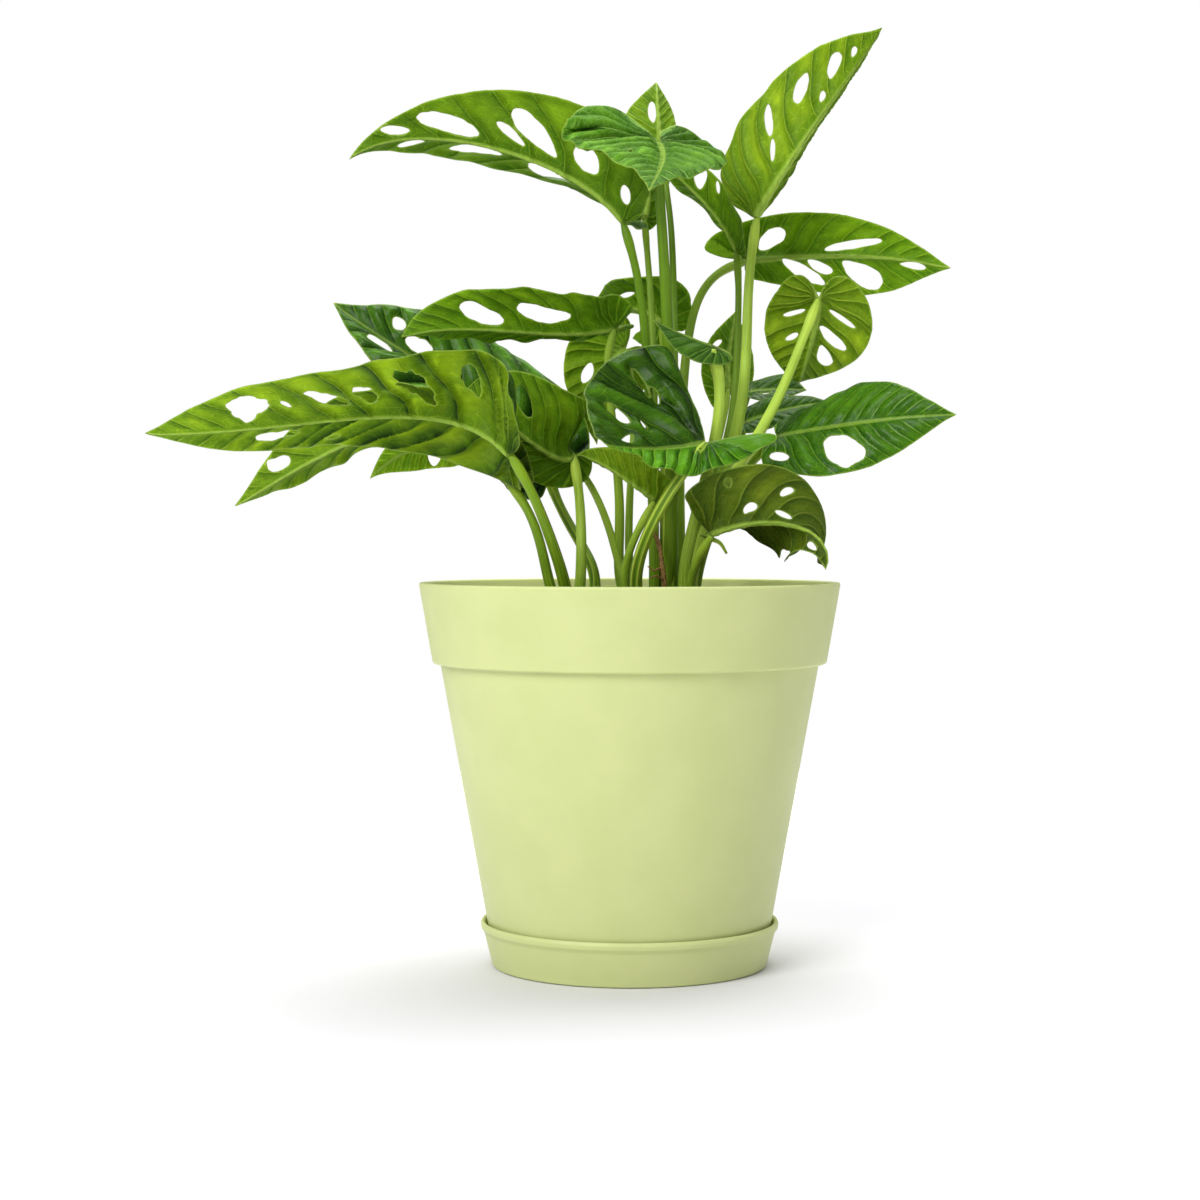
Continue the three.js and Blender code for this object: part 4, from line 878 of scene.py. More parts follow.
class Graph:
    """Short ways to add shader nodes to a tree."""

    def __init__(self, tree):
        self.tree = tree

    def add(self, kind, inputs=None, **settings):
        node = self.tree.nodes.new("ShaderNode" + kind)
        for key, value in settings.items():
            setattr(node, key, value)
        for key, value in (inputs or {}).items():
            self.feed(node.inputs[key], value)
        return node

    def feed(self, socket, value):
        if isinstance(value, bpy.types.NodeSocket):
            self.tree.links.new(value, socket)
        elif socket.type == "RGBA":
            socket.default_value = (*value[:3], 1.0)
        else:
            socket.default_value = value

    def maths(self, operation, a, b=0.0, c=0.0):
        return self.add("Math", {0: a, 1: b, 2: c}, operation=operation).outputs[0]

    def times(self, a, b):
        return self.maths("MULTIPLY", a, b)

    def scaled(self, a, b, c):
        """a times b, plus c."""
        return self.maths("MULTIPLY_ADD", a, b, c)

    def soft(self, value, start, end, low=0.0, high=1.0):
        """low at start, high at end, with soft shoulders."""
        inputs = {"Value": value, "From Min": start, "From Max": end, "To Min": low, "To Max": high}
        return self.add("MapRange", inputs, interpolation_type="SMOOTHSTEP").outputs["Result"]

    def blend(self, share, a, b, kind="MIX"):
        inputs = {0: share, 6: a, 7: b}
        return self.add("Mix", inputs, data_type="RGBA", blend_type=kind, clamp_factor=True).outputs[2]

    def layered(self, colour, layers):
        """A colour with others laid over it, each with its own strength."""
        for strength, over in layers:
            colour = self.blend(strength, colour, over)
        return colour

    def attributes(self, *names):
        return [self.add("Attribute", attribute_name=name).outputs["Fac"] for name in names]

    def place(self):
        return self.add("TexCoord").outputs["Object"]

    def vector(self, x, y, z=0.0):
        return self.add("CombineXYZ", {0: x, 1: y, 2: z}).outputs[0]

    def vectors(self, operation, a, b=(0, 0, 0)):
        return self.add("VectorMath", {0: a, 1: b}, operation=operation).outputs

    def parts(self, vector):
        return self.add("SeparateXYZ", {0: vector}).outputs

    def noise(self, vector, scale, detail=2.0, rough=0.5):
        inputs = {"Vector": vector, "Scale": scale, "Detail": detail, "Roughness": rough}
        return self.add("TexNoise", inputs).outputs["Fac"]

    def cells(self, vector, scale, feature, dimensions="3D"):
        inputs = {"Vector": vector, "Scale": scale}
        return self.add("TexVoronoi", inputs, feature=feature, voronoi_dimensions=dimensions).outputs

    def cell_tone(self, cells):
        """One random value for each cell."""
        return self.add("SeparateColor", {0: cells["Color"]}).outputs[0]


def new_group(name, inputs, outputs):
    """A shader node group with these sockets, built once."""
    tree = bpy.data.node_groups.new(name, "ShaderNodeTree")
    kinds = {"colour": "NodeSocketColor", "value": "NodeSocketFloat", "vector": "NodeSocketVector"}
    for label, kind, default in inputs:
        tree.interface.new_socket(label, in_out="INPUT", socket_type=kinds[kind]).default_value = default
    for label, kind in outputs:
        tree.interface.new_socket(label, in_out="OUTPUT", socket_type=kinds[kind])
    return Graph(tree), tree.nodes.new("NodeGroupInput").outputs, tree.nodes.new("NodeGroupOutput").inputs


def group_outputs(graph, name, inputs):
    node = graph.tree.nodes.new("ShaderNodeGroup")
    node.node_tree = bpy.data.node_groups[name]
    for key, value in inputs.items():
        graph.feed(node.inputs[key], value)
    return node.outputs


def new_material(name, constants):
    """A material with one Principled shader and its constant inputs: (material, graph, shader)."""
    material = bpy.data.materials.new(name)
    material.use_nodes = True
    material.node_tree.nodes.clear()
    graph = Graph(material.node_tree)
    shader = graph.add("BsdfPrincipled")
    graph.feed(graph.add("OutputMaterial").inputs[0], shader.outputs[0])
    for label, value in constants.items():
        shader.inputs[label].default_value = value
    return material, graph, shader


def dress(graph, shader, colour, roughness, strength, distance, height):
    """Feeds a shader its colour, its roughness and a bump of this distance in metres."""
    bump = graph.add("Bump", {"Strength": strength, "Distance": distance, "Height": height})
    for label, value in (("Base Color", colour), ("Roughness", roughness), ("Normal", bump.outputs[0])):
        graph.feed(shader.inputs[label], value)


# Tones of green. Both sides and their veins are multiples of the plant's own colours; shade is the strength of the
# painted shade ahead of each vein.
TONES = {
    "fresh": dict(upper=(1.35, 1.3, 0.9), under=(1.05, 1.15, 0.5), vein=0.5, shade=0.95, gloss=1),
    "lime": dict(upper=(1.7, 1.45, 1.0), under=(1.45, 1.35, 0.9), vein=0.45, shade=0.95, gloss=1),
    "moss": dict(upper=(1.4, 1.1, 0.9), under=(1.3, 1.15, 0.8), vein=0.5, shade=0.9, gloss=1),
    "olive": dict(upper=(1.4, 1.1, 0.9), under=(0.78, 0.68, 0.6), vein=0.6, shade=0.9, gloss=1),
    "deep": dict(upper=(1.13, 1.17, 0.4), under=(0.8, 0.9, 0.6), vein=0.6, shade=0.95, gloss=0.62),
    "silvery": dict(upper=(1.6, 1.4, 1.8), under=(1.0, 1.0, 1.0), vein=0.75, shade=0.9, gloss=0.1),
}
# Shade and light of both sides, as multiples of the side's colour
SIDES = {
    "Upper": ((0.22, 0.4, 0.1), (1.9, 1.6, 2.2)),
    "Under": ((0.26, 0.42, 0.06), (1.55, 1.4, 2.2)),
}
TISSUE = {"Subsurface Radius": (0.9, 1.0, 0.35), "Subsurface Scale": 0.0016}


def build_tissue_group():
    """Colour, gloss and relief of a blade from its veins, its edge and the side it shows, with painted light and
    shade of its quilting.
    """
    if "blade_tissue" in bpy.data.node_groups:
        return
    g, given, out = new_group(
        "blade_tissue",
        [
            *[(side + kind, "colour", WHITE) for side in SIDES for kind in ("", " Shade", " Light", " Vein")],
            ("Rib", "colour", WHITE),
            ("Edge", "colour", WHITE),
            ("Vein Strength", "value", 0.5),
            ("Shade Strength", "value", 0.5),
            ("Gloss Strength", "value", 1.0),
        ],
        [("Color", "colour"), ("Roughness", "value"), ("Gloss", "value"), ("Height", "value")],
    )
    phase, gap, across, share = g.attributes("vein_phase", "vein_gap", "blade_across", "blade_share")
    edge, under, length = g.attributes("blade_edge", "underside", "blade_length")
    light, folding = g.attributes("blade_light", "blade_folds")
    along, out_from_rib = g.times(share, length), g.maths("ABSOLUTE", across)

    # Distances in millimetres to the nearest lateral vein, and to the line midway between two of them
    to_vein = g.times(g.maths("PINGPONG", phase, 0.5), gap)
    to_middle = g.times(g.maths("PINGPONG", g.maths("ADD", phase, 0.5), 0.5), gap)
    clear_of_rib = g.soft(out_from_rib, 0.4, 2.2)
    vein = g.times(g.soft(to_vein, 0.5, 0.1), clear_of_rib)
    # Painted shade and light of the quilting: each panel is darkest just ahead of a vein and lightest before the
    # next one
    between_veins = g.maths("FRACT", phase)
    ahead = g.times(between_veins, gap)
    panel = g.noise(g.vector(along, across, g.times(phase, 1.7)), 0.14, 2.0, 0.5)
    uneven = g.soft(panel, 0.32, 0.6, 0.4, 1.0)
    flank = g.scaled(g.soft(to_vein, 1.3, 0.3), 0.3, g.times(g.soft(ahead, 5.4, 0.3), 0.9))
    flank = g.times(g.times(flank, clear_of_rib), uneven)
    # Painted shade in the crease just ahead of each vein, and near the rib
    crease = g.times(g.soft(ahead, 1.3, 0.4), clear_of_rib)
    by_rib = g.soft(out_from_rib, 9.0, 0.5)
    # Painted light on the crest of each panel, between its veins
    crest = g.times(g.soft(between_veins, 0.25, 0.8), g.soft(to_vein, 0.8, 2.6))
    crest = g.times(crest, g.soft(uneven, 1.0, 0.25, 0.4, 1.0))
    by_edge = g.soft(edge, 3.4, 0.7)
    between = g.times(g.soft(to_middle, 0.28, 0.05), g.soft(gap, 3.5, 6.0))
    rib_width = g.scaled(g.maths("SUBTRACT", 1.0, share), 0.85, 0.32)
    beside = g.maths("DIVIDE", out_from_rib, rib_width)
    rib = g.soft(beside, 1.25, 0.55)
    # Painted shade in a band beside the rib
    rib_side = g.times(g.soft(beside, 1.0, 1.4), g.soft(beside, 3.4, 1.5))
    margin = g.soft(edge, 0.6, 0.05)

    # Net of fine veins, whose cells lie along the laterals
    flat = g.vector(g.times(phase, 6.0), across, g.times(across, 0.03))
    bend = g.add("TexNoise", {"Vector": flat, "Scale": 0.55, "Detail": 1.0}).outputs["Color"]
    bent = g.vectors("ADD", flat, g.vectors("MULTIPLY", bend, (1.4, 1.4, 0))[0])[0]
    net = g.soft(g.cells(bent, 0.5, "DISTANCE_TO_EDGE", "2D")["Distance"], 0.085, 0.02)
    fine = g.soft(g.cells(bent, 1.5, "DISTANCE_TO_EDGE", "2D")["Distance"], 0.1, 0.02)
    patch = g.cell_tone(g.cells(bent, 0.5, "F1", "2D"))

    # Slow and quick changes of tone
    place = g.vector(along, across, g.times(under, 40.0))
    slow = g.soft(g.noise(place, 0.075, 3.0, 0.55), 0.36, 0.66)
    quick = g.noise(place, 0.6, 2.0, 0.6)

    # Each side from its own colour, laid over in this order: painted light on the crests, darker patches at random,
    # painted shade near the rib and near the stalk, a darker band inside the edges, painted shade ahead of each
    # vein and beside the rib, the colours of the vein net, painted shade in the creases and then the veins
    layers = (
        (g.times(crest, 0.95), " Light"),
        (g.times(slow, 0.62), " Shade"),
        (g.times(by_rib, 0.5), " Shade"),
        # Painted shade near the stalk
        (g.soft(share, 0.35, 0.0, 0.0, 0.4), " Shade"),
        (g.times(by_edge, 0.35), " Shade"),
        (g.times(flank, given["Shade Strength"]), " Shade"),
        (g.times(rib_side, 0.55), " Shade"),
        (g.times(patch, 0.12), " Vein"),
        (g.times(fine, 0.1), " Vein"),
        (g.times(net, 0.2), " Vein"),
        (g.times(between, 0.1), " Vein"),
        (g.times(crease, 0.5), " Shade"),
        (g.times(g.times(vein, uneven), given["Vein Strength"]), " Vein"),
    )
    faces = []
    for side in SIDES:
        faces.append(g.layered(given[side], [(strength, given[side + kind]) for strength, kind in layers]))
    colour = g.blend(under, *faces)
    # Painted light and shade of the folds, times each half's painted brightness, darken and lighten the colour
    folds = g.scaled(crest, 0.45, g.times(flank, -0.85))
    folds = g.maths("MAXIMUM", g.scaled(folds, folding, 1.0), 0.15)
    light = g.times(light, folds)
    colour = g.blend(1.0, colour, g.vector(light, light, light), "MULTIPLY")
    # The painted shade of the folds is a deeper green where it is dark
    dim = g.maths("MINIMUM", folds, 1.0)
    deeper = g.vector(g.maths("POWER", dim, 0.3), 1.0, g.maths("POWER", dim, 0.8))
    colour = g.blend(1.0, colour, deeper, "MULTIPLY")
    colour = g.blend(g.times(rib, g.soft(under, 0.0, 1.0, 0.55, 0.95)), colour, given["Rib"])
    colour = g.blend(g.times(margin, 0.42), colour, given["Edge"])
    colour = g.blend(g.soft(quick, 0.35, 0.7, 0.0, 0.14), colour, WHITE, "SOFT_LIGHT")
    g.feed(out["Color"], colour)

    roughness = g.scaled(quick, 0.14, g.soft(under, 0.0, 1.0, 0.36, 0.52))
    g.feed(out["Roughness"], g.scaled(flank, 0.05, roughness))
    gloss = g.times(g.soft(under, 0.0, 1.0, 0.3, 0.04), g.soft(slow, 0.0, 1.0, 0.7, 1.0))
    g.feed(out["Gloss"], g.times(gloss, given["Gloss Strength"]))

    # Veins are sunk in the upper face and stand out from the lower one; the panels between them swell upward
    relief = g.scaled(between, 0.25, g.maths("ADD", vein, g.times(net, 0.3)))
    relief = g.scaled(g.soft(to_vein, 0.0, 2.6), -1.1, relief)
    relief = g.scaled(fine, 0.12, relief)
    relief = g.times(relief, g.soft(under, 0.0, 1.0, -1.0, 1.0))
    g.feed(out["Height"], g.scaled(quick, 0.25, relief))


def blade_material(tone, settings):
    name = "blade_" + tone
    if name in bpy.data.materials:
        return bpy.data.materials[name]
    build_tissue_group()
    parts = TONES[tone]
    given = {"Rib": settings.rib_colour, "Edge": settings.edge_colour}
    given |= {key.title() + " Strength": parts[key] for key in ("vein", "shade", "gloss")}
    for side, (shade, light) in SIDES.items():
        key = side.lower()
        own = tinted(getattr(settings, key + "_colour"), parts[key])
        given |= {side: own, side + " Shade": tinted(own, shade), side + " Light": tinted(own, light)}
        given[side + " Vein"] = tinted(getattr(settings, key + "_vein_colour"), parts[key])
    constants = {
        "Coat Roughness": 0.24, "Specular IOR Level": 0.1 * parts["gloss"], "Subsurface Weight": settings.glow,
    }
    material, g, shader = new_material(name, constants | TISSUE)
    tissue = group_outputs(g, "blade_tissue", given)
    g.feed(shader.inputs["Coat Weight"], tissue["Gloss"])
    dress(g, shader, tissue["Color"], tissue["Roughness"], 1.0, 0.0005, tissue["Height"])
    return material


def build_grain_group():
    """Fine grain and slow unevenness of a surface, read from its place in the frame."""
    if "fine_grain" in bpy.data.node_groups:
        return
    g, given, out = new_group(
        "fine_grain",
        [("Scale", "value", 1000.0), ("Stretch", "vector", (1, 1, 1))],
        [("Grain", "value"), ("Drift", "value"), ("Speck", "value")],
    )
    place = g.vectors("MULTIPLY", g.place(), given["Stretch"])[0]
    place = g.add("VectorMath", {0: place, "Scale": given["Scale"]}, operation="SCALE").outputs[0]
    g.feed(out["Grain"], g.noise(place, 1.0, 3.0, 0.6))
    g.feed(out["Drift"], g.noise(place, 0.02, 3.0, 0.5))
    g.feed(out["Speck"], g.soft(g.noise(place, 0.35, 2.0, 0.5), 0.62, 0.72))


def grained_material(name, constants, scale, stretch=(1, 1, 1)):
    """A material that reads a grain of this scale: (material, graph, shader, grain)."""
    build_grain_group()
    material, graph, shader = new_material(name, constants)
    return material, graph, shader, group_outputs(graph, "fine_grain", {"Scale": scale, "Stretch": stretch})


def plastic_material(settings):
    """Moulded polypropylene: satin, with a faint grain, slightly uneven colour and painted light on the inside of
    the collar.
    """
    name = "pot_plastic_satin"
    if name in bpy.data.materials:
        return bpy.data.materials[name]
    constants = {
        "Specular IOR Level": 0.45, "Subsurface Weight": 0.35, "Subsurface Radius": (1.0, 1.0, 0.6),
        "Subsurface Scale": 0.003,
    }
    material, g, shader, grain = grained_material(name, constants, 2600.0)
    base = settings.plastic_colour
    dull, clear = tinted(base, (0.965, 0.975, 0.95)), tinted(base, (1.02, 1.015, 1.03))
    colour = g.blend(g.soft(grain["Drift"], 0.3, 0.7), dull, clear)
    colour = g.blend(g.soft(grain["Speck"], 0.0, 1.0, 0.0, 0.04), colour, tinted(base, (0.8, 0.85, 0.7)))
    # Painted light: the inside of the collar is paler, which lifts the shade that falls there
    axes = g.parts(g.place())
    radius = g.vectors("LENGTH", g.vector(axes[0], axes[1]))["Value"]
    depth = g.maths("SUBTRACT", g.scaled(axes[2], 0.173, 0.0513), radius)
    inner = g.times(g.soft(depth, 0.0011, 0.002), g.soft(axes[2], 0.118, 0.126))
    colour = g.blend(inner, colour, tinted(base, (1.3, 1.3, 1.3)))
    roughness = g.soft(grain["Grain"], 0.3, 0.7, 0.46, 0.58)
    dress(g, shader, colour, roughness, 0.25, 0.00008, grain["Grain"])
    return material


def stalk_material(settings):
    """Stalks: streaked along their length, with painted shade in the channel and painted highlights on its lips,
    pale at the knee and dark green at the foot, partly as painted shade.
    """
    constants = {
        "Specular IOR Level": 0.15, "Coat Weight": 0.07, "Coat Roughness": 0.18, "Subsurface Weight": 0.2,
    }
    material, g, shader = new_material("stalk_skin", constants | TISSUE)
    share, turn, knee, skin = g.attributes("stalk_share", "stalk_turn", "stalk_knee", "stalk_tone")
    place = g.place()
    slow = g.noise(place, 45.0, 2.0, 0.5)
    along = g.vector(g.times(turn, 3.2), g.times(share, 3.0), 0.0)
    streak = g.noise(g.vectors("ADD", along, place)[0], 2.2, 3.0, 0.65)
    light, dark = settings.stalk_colour, settings.stalk_foot_colour
    height, from_channel = g.parts(place)[2], g.maths("ABSOLUTE", turn)
    channel = g.soft(from_channel, 0.5, 0.12)
    lip = g.soft(g.maths("ABSOLUTE", g.maths("SUBTRACT", from_channel, 0.55)), 0.22, 0.03)
    # Dark green at the foot: partly the stalks' own colour and partly painted shade where they crowd near the soil
    colour = g.blend(g.soft(height, 0.118, 0.172), dark, light)
    colour = g.layered(colour, (
        (g.soft(slow, 0.35, 0.65, 0.0, 0.45), tinted(dark, (1.5, 1.25, 1.0))),
        (g.soft(streak, 0.42, 0.68, 0.0, 0.6), tinted(light, (1.45, 1.3, 1.45))),
        # Painted shade in the channel
        (g.times(channel, 0.7), tinted(dark, (0.7, 0.8, 0.6))),
        # Painted highlight on the lips of the channel
        (g.times(lip, 0.65), tinted(light, (1.9, 1.5, 2.3))),
        (g.times(knee, 0.5), tinted(light, (1.4, 1.25, 1.3))),
    ))
    tone = g.blend(skin, (0.32, 0.46, 0.06), (1.5, 1.42, 2.3))
    tone = g.blend(g.soft(height, 0.22, 0.15, 0.0, 0.3), tone, (1.5, 1.42, 1.2))
    colour = g.blend(1.0, colour, tone, "MULTIPLY")
    # The rootstocks, whose tone lies under 0, are brown
    bark = g.blend(streak, linear((58, 50, 26)), linear((112, 96, 52)))
    colour = g.blend(g.soft(skin, -0.2, -0.8), colour, bark)
    wrinkle = g.times(g.maths("SINE", g.times(share, 420.0)), g.times(knee, 0.35))
    roughness = g.soft(streak, 0.3, 0.7, 0.3, 0.45)
    dress(g, shader, colour, roughness, 0.6, 0.00018, g.maths("ADD", streak, wrinkle))
    return material


def soil_material(settings):
    """Potting mix: dark crumbs with paler fibres."""
    material, g, shader, grain = grained_material("potting_mix", {}, 900.0)
    grain, crumbs = grain["Grain"], g.cells(g.place(), 420.0, "F1")
    base = settings.soil_colour
    dark, pale = tinted(base, (0.5, 0.48, 0.45)), tinted(base, (1.7, 1.6, 1.5))
    colour = g.blend(g.soft(g.cell_tone(crumbs), 0.2, 1.0), dark, pale)
    colour = g.blend(g.soft(grain, 0.55, 0.75, 0.0, 0.6), colour, tinted(base, (3.2, 2.7, 2.1)))
    chip = g.attributes("chip")[0]
    bark, perlite = linear((112, 74, 44)), linear((214, 209, 196))
    colour = g.layered(colour, ((g.soft(chip, 0.4, 0.6), bark), (g.soft(chip, 1.4, 1.6), perlite)))
    height = g.scaled(grain, 0.5, crumbs["Distance"])
    dress(g, shader, colour, g.soft(grain, 0.3, 0.7, 0.85, 0.98), 0.9, 0.0007, height)
    return material


def root_material(settings):
    """Dry aerial root: brown cork with lighter scales."""
    material, g, shader, grain = grained_material("root_cork", {}, 1700.0, (1, 1, 0.35))
    base = settings.root_colour
    dark, pale = tinted(base, (0.5, 0.5, 0.4)), tinted(base, (1.5, 1.6, 1.4))
    colour = g.blend(g.soft(grain["Grain"], 0.35, 0.7), dark, pale)
    colour = g.blend(g.times(grain["Speck"], 0.5), colour, tinted(base, (2.2, 2.2, 2.0)))
    dress(g, shader, colour, g.soft(grain["Grain"], 0.3, 0.7, 0.68, 0.9), 0.8, 0.0003, grain["Grain"])
    return material


# Settings


def length_property(name, description, default, least=0):
    """A length, whose default and least value are given in millimetres."""
    return FloatProperty(
        name=name, description=description, default=default * MM, min=least * MM, subtype="DISTANCE", unit="LENGTH",
        precision=5,
    )


def colour_property(name, description, default):
    return FloatVectorProperty(
        name=name, description=description, default=linear(default)[:3], size=3, min=0, max=1, subtype="COLOR"
    )


def number_property(name, description, default, **limits):
    return FloatProperty(name=name, description=description, default=default, **limits)


POT_LOW, POT_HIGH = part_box("pot")


class PottedVinePot(bpy.types.PropertyGroup):
    """Sizes and colours of the pot, the saucer and the soil"""

    rim_radius: FloatProperty(
        name="Rim radius", description="Outer radius of the pot's rim",
        default=(POT_HIGH.x - POT_LOW.x) / 2, subtype="DISTANCE", unit="LENGTH",
    )
    plastic_colour: colour_property("Plastic", "Colour of the pot and the saucer", (196, 204, 140))
    soil_colour: colour_property("Soil", "Colour of the potting mix", (52, 38, 27))
    sides: IntProperty(name="Sides", description="Sides of the turned pieces", default=192, min=48)
    chips: IntProperty(name="Chips", description="Bits of bark and perlite on the soil", default=260, min=0)


class PottedVinePlant(bpy.types.PropertyGroup):
    """Sizes and colours of the plant"""

    mesh_spacing: length_property("Mesh spacing", "Distance between the points of a blade's mesh", 1.0)
    blade_thickness: length_property("Blade thickness", "Thickness of a blade away from its veins", 0.55)
    quilting: length_property("Quilting", "How far a blade swells between two veins", 1.5)
    vein_relief: length_property("Vein relief", "How far a lateral vein stands out below", 0.22)
    glow: number_property("Glow", "Share of light that passes through the tissue", 0.3, min=0, max=1)
    upper_colour: colour_property("Upper face", "Colour of a blade seen from above", (60, 106, 12))
    upper_vein_colour: colour_property("Upper veins", "Colour of the veins on the upper face", (112, 156, 62))
    under_colour: colour_property("Underside", "Colour of a blade seen from below", (118, 152, 22))
    under_vein_colour: colour_property("Lower veins", "Colour of the veins on the underside", (150, 184, 60))
    rib_colour: colour_property("Middle rib", "Colour of the middle rib", (150, 182, 70))
    edge_colour: colour_property("Edge", "Colour of the edge of a blade and of its windows", (166, 196, 84))
    stalk_colour: colour_property("Stalk", "Colour of a stalk under its blade", (146, 178, 52))
    # Partly painted shade: the stalks are darker where they crowd near the soil
    stalk_foot_colour: colour_property("Stalk foot", "Colour of a stalk near the soil", (80, 119, 18))
    root_colour: colour_property("Root", "Colour of the aerial root", (142, 106, 58))


class PottedVineStage(bpy.types.PropertyGroup):
    """Floor, light and camera"""

    # The floor's colour near the pot; away from it the floor is painted white
    floor_colour: colour_property("Floor", "Colour of the floor", (224, 223, 227))
    floor_radius: length_property("Floor radius", "Radius of the floor", 700, least=200)
    surround: number_property("Surround", "Strength of the light from all sides", 0.47, min=0)
    key_power: number_property("Key", "Power of the soft light on the left", 18.6, min=0, unit="POWER")
    top_power: number_property("Top", "Power of the soft light overhead", 21.0, min=0, unit="POWER")
    focal_length: number_property("Focal length", "Of the camera, in millimetres", 72.0, min=1)


SETTINGS = {
    "potted_vine_pot": PottedVinePot,
    "potted_vine_plant": PottedVinePlant,
    "potted_vine_stage": PottedVineStage,
}


# Operators

COLLAR_BOTTOM = 107.4
RIM_HEIGHT = 136
SOIL_FOOT = 5.9
UNDO = {"REGISTER", "UNDO"}


def hollow_radius(height):
    """Radius of the pot's inside at a height."""
    return float(np.interp(height, [2.5, COLLAR_BOTTOM, RIM_HEIGHT], [46.2, 65.0, 72.8]))


def turned(corners, sides):
    """A turned piece with rounded edges, as mesh data."""
    return *lathe(supported(rounded(corners)), sides), {}


class POTTEDVINE_OT_saucer(bpy.types.Operator):
    """Build the saucer: a shallow dish with a rolled lip"""

    bl_idname = "potted_vine.saucer"
    bl_label = "Saucer"
    bl_options = UNDO

    CORNERS = (
        (0, 0, 0), (48.9, 0, 0.9), (51.9, 12, 3), (52.9, 13.4, 1), (53.15, 14.8, 0.8), (52.6, 16, 0.7),
        (51.6, 15.6, 0.7), (51.2, 14, 1.5), (49.3, 4.6, 2), (48.9, 2.2, 0.6), (0, 2.2, 0),
    )

    def execute(self, context):
        settings = context.scene.potted_vine_pot
        dish = turned(self.CORNERS, settings.sides)
        new_piece("saucer_dish", dish, plastic_material(settings), ["saucer"])
        return {"FINISHED"}


class POTTEDVINE_OT_pot(bpy.types.Operator):
    """Build the pot: a tapering shell under a deep collar, with holes in its floor"""

    bl_idname = "potted_vine.pot"
    bl_label = "Pot"
    bl_options = UNDO

    HOLES = 4
    HOLE_RADIUS = 4
    HOLE_RING = 26

    def execute(self, context):
        settings = context.scene.potted_vine_pot
        rim = settings.rim_radius / MM
        corners = [
            (0, 4, 0), (40, 4, 0.8), (41.5, 2.5, 0.8), (48.3, 2.5, 1.2), (67.2, COLLAR_BOTTOM, 0.6),
            (69.9, COLLAR_BOTTOM, 1.1), (rim, RIM_HEIGHT, 1.0), (rim - 2.2, RIM_HEIGHT, 0.9),
            (65.0, COLLAR_BOTTOM, 1.5), (46.8, 5.5, 2.5), (0, 5.5, 0),
        ]
        shell = turned(corners, settings.sides)
        piece = new_piece("pot_shell", shell, plastic_material(settings), ["pot"])
        self.drain(context, piece)
        return {"FINISHED"}

    def drain(self, context, piece):
        """Cuts the drain holes through the floor."""
        drills = []
        for i in range(self.HOLES):
            angle = 2 * math.pi * (i + 0.5) / self.HOLES
            points, faces = lathe([(0, -4), (self.HOLE_RADIUS, -4), (self.HOLE_RADIUS, 12), (0, 12)], 32)
            place = (self.HOLE_RING * math.cos(angle), self.HOLE_RING * math.sin(angle), 0)
            drills.append((points + place, faces, {}))
        points, faces, _ = joined(drills)
        mesh = bpy.data.meshes.new("drills")
        mesh.from_pydata((points * MM).tolist(), [], faces)
        cutter = bpy.data.objects.new("drills", mesh)
        context.scene.collection.objects.link(cutter)
        cut = piece.modifiers.new("drainage", "BOOLEAN")
        cut.object, cut.operation, cut.solver = cutter, "DIFFERENCE", "EXACT"
        bpy.context.view_layer.update()
        shaped = bpy.data.meshes.new_from_object(piece.evaluated_get(bpy.context.evaluated_depsgraph_get()))
        piece.modifiers.clear()
        piece.data = shaped
        shaped.shade_smooth()
        bpy.data.objects.remove(cutter)


